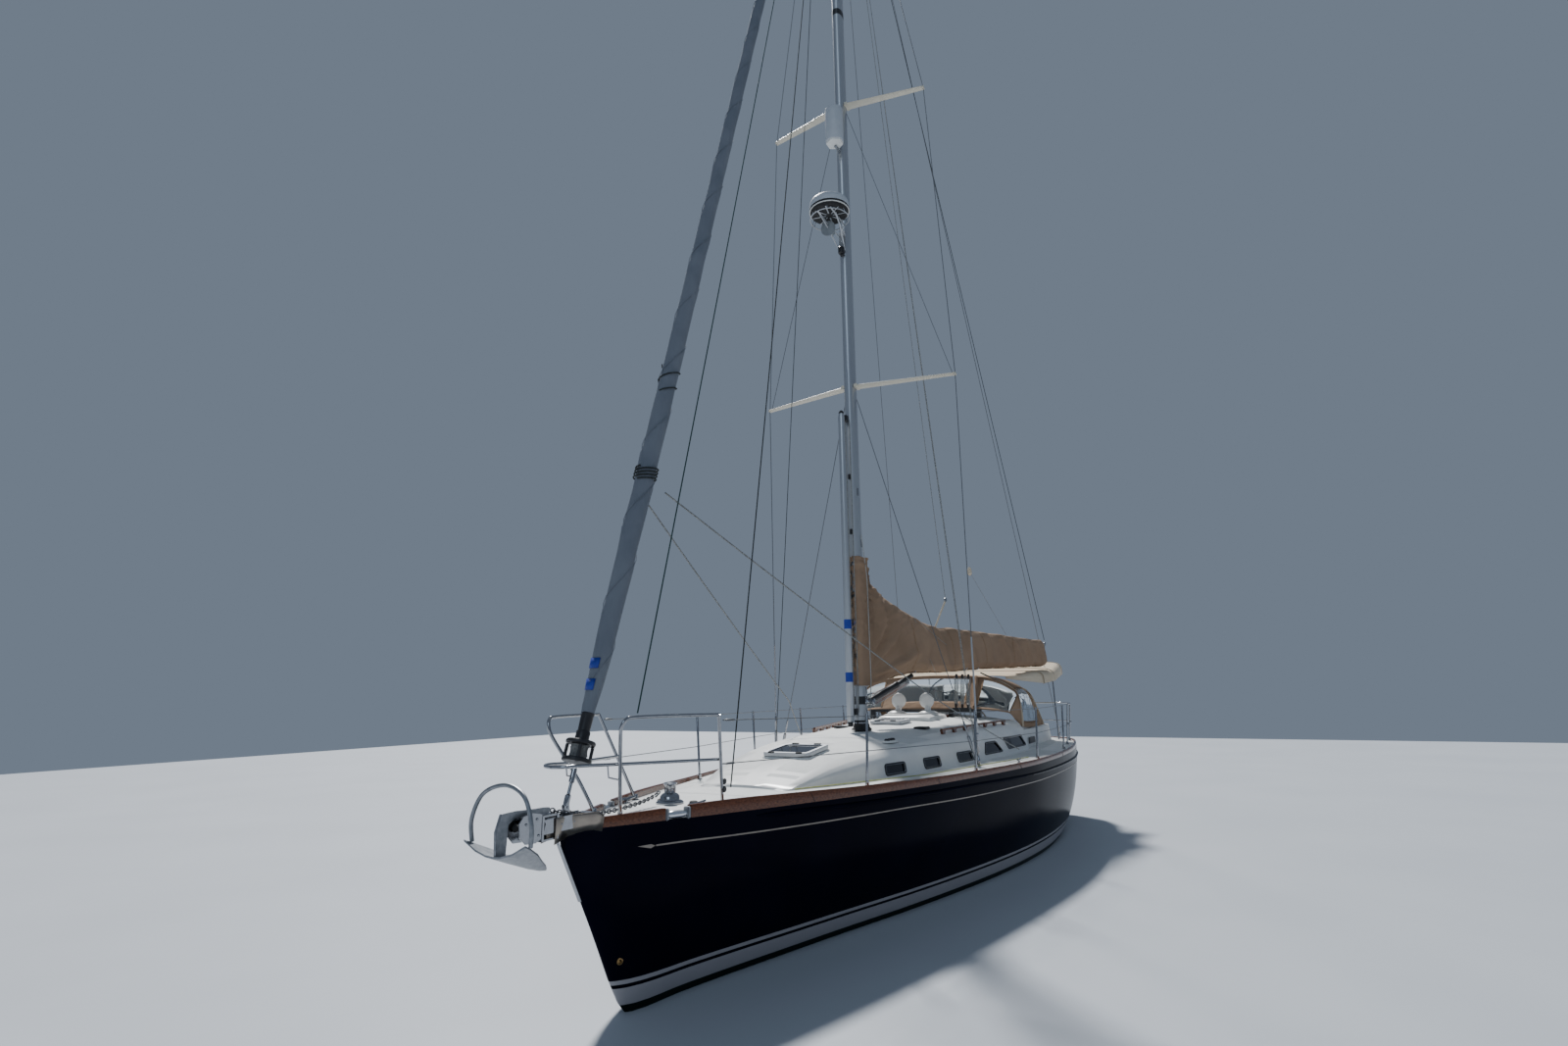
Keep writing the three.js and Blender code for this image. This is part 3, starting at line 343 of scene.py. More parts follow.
# Materials: key, name, colour, roughness, metal, scale and colour of the flecks, and the rest.
LOOKS = [
    ("antifouling", "antifouling", BOTTOM, 0.75, 0, (4, (0.014, 0.026, 0.024)), dict(bump=(60, 0.3))),
    ("deck", "deck_gelcoat", (0.8, 0.8, 0.77), 0.32, 0, (3, (0.73, 0.73, 0.71)), dict(bump=(30, 0.04))),
    ("grip", "deck_grip", (0.72, 0.73, 0.71), 0.62, 0, (5, (0.66, 0.67, 0.65)), dict(weave=(90, 0.5))),
    ("teak", "varnished_teak", (0.085, 0.023, 0.008), 0.22, 0, (9, (0.195, 0.06, 0.021)),
     dict(coat=0.3, stretch=(0.6, 14, 14), bump=(90, 0.12), spec=0.35)),
    # Polished steel's colour is set darker than the metal's own tone and stands in for reflections of dark
    # surroundings: painted reflection.
    ("steel", "polished_steel", (0.38, 0.39, 0.41), 0.16, 1.0, (20, (0.32, 0.33, 0.35)),
     dict(bump=(40, 0.03))),
    ("wire", "stay_wire", (0.16, 0.165, 0.17), 0.42, 0.7, None, dict(bump=(400, 0.3))),
    ("alloy", "mast_alloy", (0.5, 0.52, 0.54), 0.38, 0.85, (2, (0.44, 0.46, 0.49)),
     dict(stretch=(1, 1, 0.2), bump=(120, 0.04))),
    ("cream", "cream_paint", (0.66, 0.62, 0.5), 0.4, 0, (8, (0.6, 0.56, 0.46)), dict(bump=(80, 0.05))),
    ("canvas", "tan_canvas", (0.3, 0.2, 0.13), 0.92, 0, (2.2, (0.36, 0.245, 0.162)),
     dict(bump=(6, 0.8), weave=(420, 0.25), spec=0.2, depth=0.03)),
    ("canvas_light", "cream_canvas", (0.62, 0.52, 0.38), 0.92, 0, (2.2, (0.7, 0.6, 0.46)),
     dict(bump=(6, 0.6), weave=(420, 0.2), spec=0.2, depth=0.015)),
    ("seam", "canvas_seam", (0.26, 0.16, 0.085), 0.9, 0, (30, (0.34, 0.21, 0.115)), dict(weave=(300, 0.4))),
    ("sailcloth", "grey_sunstrip", (0.15, 0.172, 0.205), 0.85, 0, (3, (0.19, 0.212, 0.245)),
     dict(bump=(12, 0.5), weave=(420, 0.2), depth=0.006)),
    ("black", "black_plastic", (0.012, 0.012, 0.014), 0.42, 0, (12, (0.02, 0.02, 0.022)),
     dict(bump=(90, 0.1))),
    ("chain", "chain_metal", (0.1, 0.105, 0.115), 0.35, 0.9, (40, (0.2, 0.2, 0.21)), dict(bump=(150, 0.2))),
    ("rubber", "black_rubber", (0.015, 0.015, 0.016), 0.8, 0, (15, (0.028, 0.028, 0.028)),
     dict(bump=(60, 0.2))),
    ("white", "white_plastic", (0.76, 0.76, 0.73), 0.35, 0, (10, (0.7, 0.7, 0.67)), dict(bump=(60, 0.05))),
    # The radar dome and reflector can are white plastic coloured bluish grey: painted shade.
    ("dome", "dome_grey", (0.5, 0.53, 0.56), 0.45, 0, (8, (0.45, 0.48, 0.52)), dict(bump=(60, 0.05))),
    ("tint", "tinted_glass", (0.005, 0.006, 0.01), 0.07, 0, (3, (0.008, 0.01, 0.016)),
     dict(bump=(3, 0.02), spec=0.4)),
    ("clear", "clear_vinyl", (0.5, 0.6, 0.68), 0.05, 0, (4, (0.44, 0.54, 0.62)),
     dict(bump=(4, 0.08), clear=0.92)),
    ("zinc", "galvanised", (0.22, 0.24, 0.26), 0.45, 0.8, (30, (0.32, 0.33, 0.35)), dict(bump=(200, 0.2))),
    ("bronze", "propeller_bronze", (0.4, 0.25, 0.1), 0.35, 1.0, (12, (0.3, 0.2, 0.09)), dict(bump=(40, 0.1))),
    ("engine", "engine_paint", (0.28, 0.31, 0.33), 0.5, 0.2, (12, (0.23, 0.26, 0.28)), dict(bump=(60, 0.1))),
    ("bright", "bright_steel", (0.8, 0.81, 0.83), 0.2, 1.0, (20, (0.74, 0.75, 0.77)), dict(bump=(40, 0.03))),
    ("strip", "strip_metal", (0.4, 0.35, 0.29), 0.3, 1.0, (14, (0.31, 0.27, 0.23)), dict(bump=(50, 0.05))),
    ("blue", "blue_tape", (0.008, 0.03, 0.3), 0.5, 0, (20, (0.01, 0.045, 0.36)), dict(bump=(200, 0.1))),
    ("cove", "cove_line", (0.34, 0.29, 0.24), 0.35, 0.2, (12, (0.26, 0.22, 0.19)), dict(bump=(60, 0.05))),
    ("rope_red", "red_flecked_rope", (0.3, 0.035, 0.03), 0.9, 0, (90, (0.62, 0.58, 0.55)), LAID),
    ("webbing", "yellow_webbing", (0.42, 0.46, 0.16), 0.85, 0, (20, (0.52, 0.55, 0.26)),
     dict(weave=(500, 0.5))),
    ("floor", "pale_floor", (0.46, 0.49, 0.53), 0.6, 0, (0.4, (0.43, 0.46, 0.5)), dict(bump=(2, 0.05))),
    ("rope", "grey_rope", (0.20, 0.205, 0.20), 0.9, 0, (60, (0.42, 0.42, 0.40)), LAID),
    ("white_rope", "white_rope", (0.42, 0.42, 0.40), 0.9, 0, (60, (0.56, 0.56, 0.54)), LAID),
    ("rope_dark", "dark_rope", (0.018, 0.024, 0.022), 0.9, 0, (60, (0.05, 0.06, 0.055)), LAID),
    ("rope_green", "green_rope", (0.012, 0.05, 0.045), 0.9, 0, (60, (0.03, 0.10, 0.09)), LAID),
]
MAT = {"hull": banded(NAVY, HULL_BANDS, 0.25)}
for key, name, color, rough, metal, mottle, more in LOOKS:
    MAT[key] = material(name, color, rough, metal, mottle=mottle, **more)


# Shapes. A shape is a list of points with a list of faces over them.

def skin(rows, closed=False):
    """Faces over rows of points of equal length."""
    n = len(rows[0])
    faces = []
    for i in range(len(rows) - 1):
        for j in range(n if closed else n - 1):
            k = (j + 1) % n
            faces.append((i * n + j, i * n + k, (i + 1) * n + k, (i + 1) * n + j))
    return [Vector(p) for row in rows for p in row], faces


def solid(rows):
    """Closed shape over rings of points, with flat ends."""
    verts, faces = skin(rows, closed=True)
    n = len(rows[0])
    faces.append(tuple(reversed(range(n))))
    faces.append(tuple(range(len(verts) - n, len(verts))))
    return verts, faces


def gather(*shapes):
    """Several shapes as one."""
    verts, faces = [], []
    for more_verts, more_faces in shapes:
        start = len(verts)
        verts += [Vector(v) for v in more_verts]
        faces += [tuple(start + i for i in face) for face in more_faces]
    return verts, faces


def mirrored(shape):
    """The same shape on the other side of the boat."""
    verts, faces = shape
    return [(v[0], -v[1], v[2]) for v in verts], [tuple(reversed(face)) for face in faces]


def both(*shapes):
    one = gather(*shapes)
    return gather(one, mirrored(one))


# Both sides, with what turns a port shape into one of that side.
SIDES = (("port", lambda shape: shape), ("starboard", mirrored))


def turns(count, start=0.0):
    return [start + 2 * math.pi * k / count for k in range(count)]


def about(at, radius, angle, up=0.0):
    """Point on a level circle about another point."""
    return Vector(at) + Vector((radius * math.cos(angle), radius * math.sin(angle), up))


def block(x0, x1, y0, y1, z0, z1):
    verts = [(x, y, z) for x in (x0, x1) for y in (y0, y1) for z in (z0, z1)]
    return verts, [(0, 1, 3, 2), (4, 6, 7, 5), (0, 4, 5, 1), (2, 3, 7, 6), (0, 2, 6, 4), (1, 5, 7, 3)]


def prism(outline, axis, start, end):
    """A flat outline drawn out along an axis; its two numbers fill the other two axes in order."""
    i = "xyz".index(axis)
    rows = []
    for level in (start, end):
        rows.append([(*p[:i], level, *p[i:]) for p in outline])
    return solid(rows)


def rounded(half_u, half_v, radius, steps=5):
    """Outline of a rectangle with round corners about the origin."""
    outline = []
    for corner in range(4):
        u = (half_u - radius) * (1 if corner in (0, 3) else -1)
        v = (half_v - radius) * (1 if corner in (0, 1) else -1)
        for k in range(steps + 1):
            a = math.pi / 2 * (corner + k / steps)
            outline.append((u + radius * math.cos(a), v + radius * math.sin(a)))
    return outline


def softened(corners, radius, steps=4):
    """A polygon's outline with its corners rounded off."""
    outline = []
    for i, corner in enumerate(corners):
        here = Vector(corner)
        before, after = Vector(corners[i - 1]), Vector(corners[(i + 1) % len(corners)])
        a = here + (before - here).normalized() * radius
        b = here + (after - here).normalized() * radius
        for k in range(steps + 1):
            t = k / steps
            outline.append(a * (1 - t) ** 2 + here * 2 * t * (1 - t) + b * t * t)
    return outline


def curve(points, steps=6):
    """Points along a smooth curve through the given ones."""
    points = [Vector(p) for p in points]
    line = []
    for i in range(len(points) - 1):
        p0, p1, p2 = points[max(i - 1, 0)], points[i], points[i + 1]
        p3 = points[min(i + 2, len(points) - 1)]
        for k in range(steps):
            t = k / steps
            line.append(0.5 * (2 * p1 + (p2 - p0) * t + (2 * p0 - 5 * p1 + 4 * p2 - p3) * t * t
                               + (3 * p1 - p0 - 3 * p2 + p3) * t ** 3))
    return line + [points[-1]]


def sag(a, b, drop, steps=10):
    """Points of a line that hangs between two others."""
    a, b = Vector(a), Vector(b)
    return [a.lerp(b, k / steps) - Vector((0, 0, drop * 4 * k / steps * (1 - k / steps)))
            for k in range(steps + 1)]


def heading(points, i):
    """Direction of a line at its point i."""
    return (points[min(i + 1, len(points) - 1)] - points[max(i - 1, 0)]).normalized()


def tube(points, radius, sides=8):
    """Round tube along points; radius is one number, or one for each point."""
    points = [Vector(p) for p in points]
    sizes = radius if hasattr(radius, "__len__") else [radius] * len(points)
    rows = []
    across = None
    for i, point in enumerate(points):
        way = heading(points, i)
        across = across or way.orthogonal()
        across = (across - way * across.dot(way)).normalized()
        other = way.cross(across)
        rows.append([point + (across * math.cos(a) + other * math.sin(a)) * sizes[i] for a in turns(sides)])
    return solid(rows)


def strip(points, wide, thick, up=(0, 0, 1)):
    """Flat strip along points, wide across them and thick along up."""
    points = [Vector(p) for p in points]
    rows = []
    for i, point in enumerate(points):
        way = heading(points, i)
        side = way.cross(Vector(up)).normalized() * wide / 2
        lift = side.cross(way).normalized() * thick / 2
        rows.append([point + side + lift, point - side + lift, point - side - lift, point + side - lift])
    return solid(rows)


def lathe(profile, base, way=(0, 0, 1), sides=20):
    """Turned shape; the profile's rows are radius and distance along way from base."""
    turn = Vector(way).to_track_quat("Z", "Y")
    rows = []
    for radius, height in profile:
        rows.append([Vector(base) + turn @ Vector((radius * math.cos(a), radius * math.sin(a), height))
                     for a in turns(sides)])
    return solid(rows)


def link(at, way, long, wide, thick, flat):
    """One chain link: a ring drawn out along way, lying across flat."""
    way, flat = Vector(way).normalized(), Vector(flat).normalized()
    ring = []
    for a in turns(12):
        ring.append(Vector(at) + way * long / 2 * math.cos(a) + flat * wide / 2 * math.sin(a))
    return tube(ring + ring[:2], thick, 5)


def smooth(data, angle):
    """Smooth shading between edges that turn more than an angle in degrees."""
    for polygon in data.polygons:
        polygon.use_smooth = True
    data.set_sharp_from_angle(angle=math.radians(angle))


# The slot that each material usually fills.
SLOTS = {}
for slot, mats in (("hull_gelcoat", "hull cove"), ("keel_paint", "antifouling"), ("deck_gelcoat", "deck"),
                   ("stainless", "strip steel bright wire"), ("galvanised", "zinc chain"),
                   ("bronze", "bronze"), ("mast_alloy", "alloy cream"), ("engine_paint", "engine"),
                   ("varnished_teak", "teak"), ("black_rubber", "rubber"), ("black_plastic", "black"),
                   ("white_plastic", "dome white"), ("tinted_glass", "tint"),
                   ("canvas", "sailcloth blue canvas canvas_light seam clear")):
    SLOTS.update(dict.fromkeys(mats.split(), slot))


def piece(name, shape, mat, body="yacht", replaces=(), slot=None, bevel=0.0, angle=35, outward=True,
          thick=0.0):
    """One mesh object from a shape or a list of them, riding on a body, with its material; its slot is looked
    up but not given to it.
    """
    verts, faces = gather(*shape) if isinstance(shape, list) else shape
    data = bpy.data.meshes.new(name)
    data.from_pydata([tuple(v) for v in verts], [], faces)
    work = bmesh.new()
    work.from_mesh(data)
    bmesh.ops.remove_doubles(work, verts=work.verts, dist=2e-5)
    if outward:
        bmesh.ops.recalc_face_normals(work, faces=work.faces)
    if bevel:
        sharp = [e for e in work.edges if e.is_manifold and e.calc_face_angle() > 0.6]
        bmesh.ops.bevel(work, geom=sharp, offset=bevel, segments=2, affect="EDGES", clamp_overlap=True)
    work.to_mesh(data)
    work.free()
    smooth(data, angle)
    data.materials.append(MAT[mat])
    obj = bpy.data.objects.new(name, data)
    bpy.context.scene.collection.objects.link(obj)
    if body:
        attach(obj, body)
    slot = SLOTS.get(mat) if slot is None else slot
    if replaces:
        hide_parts(*replaces)
    if thick:
        obj.modifiers.new("thickness", "SOLIDIFY").thickness = thick
    return obj


def carve(obj, wall, cuts, angle=35):
    """Thickens an open skin inwards by wall, and cuts shapes out of it."""
    if wall:
        thick = obj.modifiers.new("wall", "SOLIDIFY")
        thick.thickness = wall
        thick.offset = -1
    tools = []
    for i, shape in enumerate(cuts):
        tool = piece(f"cutter_{i}", shape, "deck", body=None, slot="")
        cut = obj.modifiers.new(f"cut_{i}", "BOOLEAN")
        cut.object = tool
        cut.solver = "EXACT"
        tools.append(tool)
    graph = bpy.context.evaluated_depsgraph_get()
    baked = bpy.data.meshes.new_from_object(obj.evaluated_get(graph))
    obj.modifiers.clear()
    obj.data = baked
    for tool in tools:
        bpy.data.objects.remove(tool)
    smooth(baked, angle)


def dress(node, mat, angle=35):
    """Gives a CAD node its material, and smooth shading between sharp edges."""
    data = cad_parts[node].data
    data.materials.clear()
    data.materials.append(MAT[mat])
    smooth(data, angle)


# Places of turning parts.
RUDDER_AXIS = (-4.42, 0, 0)
PROPELLER = Vector((-3.08, 0, -0.72))
WHEEL = Vector((-4.45, 0, 1.52))

# Hull skin from the stations, with a wall, and the openings of rudder stock and drive leg.
STEPS_X, STEPS_U = 110, 26
hull_x = [-5.85, -5.84, -5.83, -5.81, -5.78] + [-5.74 + 11.54 * i / STEPS_X for i in range(STEPS_X + 1)]
hull_rows = []
for x in hull_x:
    port = [hull_point(x, (k / STEPS_U) ** 1.7) for k in range(STEPS_U + 1)]
    hull_rows.append([Vector((p.x, -p.y, p.z)) for p in reversed(port[1:])] + port)
verts, faces = skin(hull_rows)
n = len(hull_rows[0])
faces += [tuple(range(n)), tuple(reversed(range(len(verts) - n, len(verts))))]
hull = piece("hull_skin", (verts, faces), "hull", replaces=["hull"], angle=40)
carve(hull, 0.04, [lathe([(0.052, -0.9), (0.052, 0.5)], RUDDER_AXIS),
                   block(-2.91, -2.75, -0.06, 0.06, -0.9, -0.05)], 40)

# Rubbing strake below the rail, with its metal strip, and the cove line with its arrow.
strake_x = [4.25, 4.2, 4.1] + [4.0 - 0.25 * i for i in range(36)]
strake_x += [-5.05, -5.25, -5.45, -5.6, -5.7, -5.78, -5.82, -5.85]
strake = [side_at(x, sheer(x) - along(STRIP_DROPS, 1, x), 0.002) for x in strake_x]
strake_sizes = [0.003, 0.008, 0.015] + [0.02] * (len(strake) - 3)
piece("rub_rail", both(tube(strake, strake_sizes, 8)), "hull")
piece("rub_rail_cover", both(tube([p + Vector((0, 0.7 * size, 0)) for p, size in zip(strake, strake_sizes)],
                                  [0.3 * size for size in strake_sizes], 8)), "strip")


def cove_at(x, out=0.0015):
    return side_at(x, sheer(x) - along(COVE_DROPS, 1, x), out)


piece("cove_stripe", both(strip([cove_at(5.15 - 0.15 * i) for i in range(73)], 0.003, 0.011)), "cove")
arrow_points = [side_at(x, sheer(x) - drop, 0.002) for x, drop in
                ((5.292, 0.154), (5.189, 0.178), (5.156, 0.163), (5.189, 0.15))]
inner_points = [p - Vector((0, 0.004, 0)) for p in arrow_points]
piece("cove_arrow", both(solid([inner_points, arrow_points])), "cove")
fitting = side_at(5.271, 0.388)
piece("skin_fitting", lathe([(0.024, 0), (0.024, 0.006), (0.012, 0.008), (0.011, -0.004)], fitting,
                            (0.4, 1, 0)), "bronze")

# Keel with its bulb, rudder and the drive, as smooth foils.
def foil(x0, x1, half, z, count=18):
    """Ring of a foil section from its nose at x0 to its tail at x1."""
    ring = []
    for k in range(count * 2):
        t = (1 - math.cos(math.pi * k / count)) / 2
        y = half * (2.9 * math.sqrt(t) - 1.3 * t - 3.5 * t ** 2 + 2.0 * t ** 3) * 0.98 + 0.002
        ring.append((x0 + (x1 - x0) * t, y if k < count else -y, z))
    return ring


fin = solid([foil(1.15 - 0.42 * t, -0.85 - 0.06 * (1 - t) + 0.06 * t, 0.095 - 0.015 * t, -0.4 - 1.51 * t)
             for t in (0, 0.25, 0.5, 0.75, 1)])
bulb = solid([foil(0.9, -1.17, 0.06, -1.79), foil(1.04, -1.23, 0.12, -1.86),
              foil(1.09, -1.27, 0.16, -1.93), foil(1.04, -1.25, 0.155, -2.0), foil(0.97, -1.23, 0.12, -2.05)])
piece("keel_fin", gather(fin, bulb), "antifouling", replaces=["keel"], angle=60)
blade = solid([foil(-4.192 - 0.091 * t, -4.952 + 0.152 * t, 0.0475 - 0.019 * t, -0.33 - 1.42 * t)
               for t in (0, 0.3, 0.6, 0.85, 1)])
rudder_stock = lathe([(0.034, -0.53), (0.034, 0.42)], RUDDER_AXIS)
piece("rudder_blade", gather(blade, rudder_stock), "antifouling", "rudder", ["rudder"], angle=60)

leg = solid([foil(-2.755, -2.905, 0.055 - 0.012 * t, -0.04 - 0.6 * t) for t in (0, 0.3, 0.7, 1)])
hub = lathe([(0.03, 0), (0.052, 0.05), (0.062, 0.14), (0.058, 0.24), (0.03, 0.32)], (-2.7, 0, -0.72),
            (-1, 0, 0))
skeg = solid([foil(-2.78, -2.93, 0.022 - 0.01 * t, -0.74 - 0.13 * t) for t in (0, 0.5, 1)])
piece("drive_leg_smooth", gather(leg, hub, skeg), "engine", replaces=["drive_leg"])
blades = []
for turn in turns(3):
    rows = []
    for r, wide, twist in ((0.03, 0.05, 1.2), (0.07, 0.12, 1.0), (0.13, 0.17, 0.8), (0.19, 0.14, 0.65),
                           (0.22, 0.05, 0.6)):
        ring = []
        for a in turns(12):
            u, v = wide / 2 * math.cos(a), 0.006 * math.sin(a)
            spot = Vector((u * math.sin(twist) * 0.9 + v, u * math.cos(twist), r))
            ring.append(Matrix.Rotation(turn, 3, "X") @ spot + PROPELLER)
        rows.append(ring)
    blades.append(solid(rows))
cone = lathe([(0.052, 0), (0.05, 0.06), (0.03, 0.12), (0.012, 0.134)], (-3.026, 0, -0.72), (-1, 0, 0))
piece("propeller_blades", gather(cone, *blades), "bronze", "propeller", ["propeller"], angle=50)

# Deck skin with the coachroof, the cockpit opening and all windows and hatches cut.
def deck_line(x, with_roof=True):
    """Port half of the deck at x, from its edge to the middle, as points (y, z)."""
    half = deck_half(x) - 0.01
    if with_roof and ROOF_AFT <= x <= ROOF_FORE:
        roof = roof_half_line(x)
    else:
        foot = along(COACHROOF, 1, x) if x < 0 else 0.55 * half
        roof = [(foot * share, deck_top(x, foot * share))
                for share in (1.01, 1, 0.99, 0.98, 0.965, 0.945, 0.92, 0.89, 0.72, 0.54, 0.36, 0.18, 0)]
    inner = min(roof[0][0], half * 0.97)
    edge = [half * (1 - t) + inner * t for t in (0, 0.1, 0.3, 0.5, 0.7, 0.9)]
    return [(y, deck_top(x, y)) for y in edge] + [(min(y, half), z) for y, z in roof]


def deck_rows(xs, with_roof=True):
    rows = []
    for x in xs:
        line = deck_line(x, with_roof)
        rows.append([(x, y, z) for y, z in line] + [(x, -y, z) for y, z in line[-2::-1]])
    return rows


aft_deck_x = [-5.84, -5.83, -5.81, -5.78] + [-5.74 + 3.04 * i / 38 for i in range(39)]
fore_deck_x = [ROOF_AFT + 6.15 * i / 76 for i in range(77)] + [3.46 + 2.32 * i / 29 for i in range(30)]
deck = piece("deck_skin", skin(deck_rows(fore_deck_x)), "deck", replaces=["deck"], outward=False)
aft_deck = piece("aft_deck_skin", skin(deck_rows(aft_deck_x, False)), "deck",
                 replaces=["deck"], outward=False)
bulkhead_line = [(y - 0.004, z - 0.004) for y, z in roof_half_line(ROOF_AFT)]
bulkhead_line += [(-y, z) for y, z in bulkhead_line[-2::-1]]
bulkhead = piece("aft_bulkhead", prism(bulkhead_line, "x", -2.728, -2.702), "deck")
cockpit_cut = block(COCKPIT_AFT, COCKPIT_FORE, -COCKPIT_HALF, COCKPIT_HALF, 0.9, 2.4)
companionway_cut = block(-3.0, -1.95, -0.31, 0.31, 1.18, 2.2)


def window_outline(row, grow=0.0):
    aft, fore, low, high, aft_shift, fore_shift = row
    corners = [(aft - grow, low - grow), (fore + grow, low - grow),
               (fore + fore_shift + grow, high + grow), (aft + aft_shift - grow, high + grow)]
    return softened(corners, 0.035 + grow)


openings = []
for row in WINDOWS:
    openings += [prism(window_outline(row), "y", 0.4, 1.8), prism(window_outline(row), "y", -1.8, -0.4)]
for _, _, middle, size in HATCHES:
    hole = [(u + middle, v) for u, v in rounded(size / 2 - 0.04, size / 2 - 0.04, 0.05)]
    openings.append(prism(hole, "z", 1.3, 2.2))
carve(deck, 0.035, [companionway_cut, gather(*openings)], 50)
carve(aft_deck, 0.035, [cockpit_cut], 50)
carve(bulkhead, 0, [companionway_cut])

# Anti-slip panels on side decks, foredeck and coachroof top, set in by smooth margins.
for plate in (deck, aft_deck):
    plate.data.materials.append(MAT["grip"])
    for polygon in plate.data.polygons:
        at = polygon.center
        if polygon.normal.z < 0.9:
            continue
        half = deck_half(at.x)
        roof_foot = along(COACHROOF, 1, at.x) if ROOF_AFT < at.x < ROOF_FORE else 0
        lane = (abs(at.y) - roof_foot) / max(half - roof_foot, 0.01)
        seam = any(abs(at.x - cross) < 0.05 for cross in (4.0, 3.1, 1.2, -0.9, -2.9, -4.6))
        on_deck = roof_foot and 0.12 < lane < 0.86
        on_roof = roof_foot and at.x < 3.2 and 0.08 < abs(at.y) < roof_foot * 0.78
        on_foredeck = not roof_foot and abs(at.y) < half * 0.82
        if at.x < 4.9 and not seam and (on_deck or on_roof or on_foredeck):
            polygon.material_index = 1

# Window panes inside the wall, with black frames and thin bright liners.
panes, frames, liners = [], [], []
for row in WINDOWS:
    aft, fore, low, high, aft_shift, fore_shift = row
    x0, x1 = aft - 0.03, max(fore, fore + fore_shift) + 0.03
    z0, z1 = low - 0.025, high + 0.02
    rows = []
    for i in range(13):
        x = x0 + (x1 - x0) * i / 12
        rows.append([(x, roof_side(x, z0 + (z1 - z0) * k / 5) - 0.011, z0 + (z1 - z0) * k / 5)
                     for k in range(6)])
    panes.append(skin(rows))
    for bag, grow, out, radius in ((frames, -0.001, 0.002, 0.009), (liners, -0.011, 0.006, 0.0035)):
        outline = window_outline(row, grow)
        path = [(p.x, roof_side(p.x, p.y) + out, p.y) for p in outline]
        bag.append(tube(path + path[:2], radius, 6))
for side, change in SIDES:
    piece(f"window_panes_{side}", change(gather(*panes)), "tint",
          replaces=[f"window_glass_{side}"], thick=0.006)
piece("window_frames", both(*frames), "black")
piece("window_liners", both(*liners), "steel")

# Opening hatches: an alloy frame round a tinted pane, with hinges, over a coaming.
def placed(shape, matrix):
    return [matrix @ Vector(v) for v in shape[0]], shape[1]


def frame_ring(outer, inner, low, high):
    """Square frame with round corners between two heights."""
    rows = [[(u, v, z) for u, v in rounded(half, half, 0.05)]
            for half, z in ((outer, low), (outer, high - 0.006), (outer - 0.006, high), (inner + 0.004, high),
                            (inner, high - 0.004), (inner, low), (outer, low))]
    return skin(rows, closed=True)


for node, body, middle, size in HATCHES:
    drop = roof_top(middle + size / 2, 0) - roof_top(middle - size / 2, 0)
    tilt = Matrix.Rotation(-math.atan2(drop, size), 4, "Y")
    place = Matrix.Translation((middle, 0, roof_top(middle, 0) + 0.032)) @ tilt
    seat = Matrix.Translation((middle, 0, roof_top(middle, 0) + 0.004)) @ tilt
    half = size / 2
    piece(f"{node}_frame", placed(frame_ring(half, half - 0.045, -0.02, 0.02), place), "alloy", body, [node])
    pane = prism(rounded(half - 0.04, half - 0.04, 0.045), "z", -0.006, 0.01)
    piece(f"{node}_pane", placed(pane, place), "tint", body, bevel=0.002)
    hinge_x = half if node.startswith("foredeck") else -half
    latch_x = -hinge_x * 0.93
    knuckles = [lathe([(0.012, -0.035), (0.012, 0.035)], (hinge_x * 0.97, y, 0.018), (0, 1, 0), 10)
                for y in (-half * 0.6, half * 0.6)]
    handles = [block(latch_x - 0.014, latch_x + 0.014, y - 0.04, y + 0.04, 0.018, 0.03)
               for y in (-half * 0.5, half * 0.5)]
    piece(f"{node}_hinges", placed(gather(*knuckles, *handles), place), "black", body, bevel=0.003)
    piece(f"{node}_coaming", placed(frame_ring(half + 0.012, half - 0.05, -0.022, 0.0), seat), "deck")

# Companionway: sea hood, sliding hatch and washboards.
slide_z = roof_top(-1.95, 0)
hood_rows = []
for x, inset, top in ((-1.89, 0.0, 0.06), (-1.6, 0.0, 0.06), (-1.3, 0.0, 0.058), (-1.16, 0.01, 0.05),
                      (-1.1, 0.03, 0.02), (-1.09, 0.06, -0.04)):
    ring = []
    for y in (0.43, 0.425, 0.4, 0.33, 0.2, 0, -0.2, -0.33, -0.4, -0.425, -0.43):
        edge = max(abs(y) - 0.33, 0) / 0.1
        ring.append((x, y * (1 - inset), slide_z - 0.04 + (top + 0.04) * (1 - edge ** 3)))
    hood_rows.append(ring)
piece("sea_hood_smooth", skin(hood_rows), "deck", replaces=["sea_hood"], outward=False, thick=0.012)
slide = gather(block(-2.76, -1.9, -0.335, 0.335, slide_z + 0.014, slide_z + 0.036),
               block(-2.76, -2.7, -0.3, 0.3, slide_z + 0.03, slide_z + 0.05))
piece("hatch_slide", slide, "deck", "companionway_slide", ["companionway_slide"], bevel=0.006)
runners = both(block(-2.72, -1.9, 0.375, 0.405, slide_z - 0.01, slide_z + 0.026))
piece("slide_runners", runners, "teak", bevel=0.005)
boards = [block(-2.745, -2.722, -0.3, 0.3, 1.2 + 0.2 * k, 1.392 + 0.2 * k) for k in range(3)]
piece("washboards", boards, "teak", bevel=0.004)


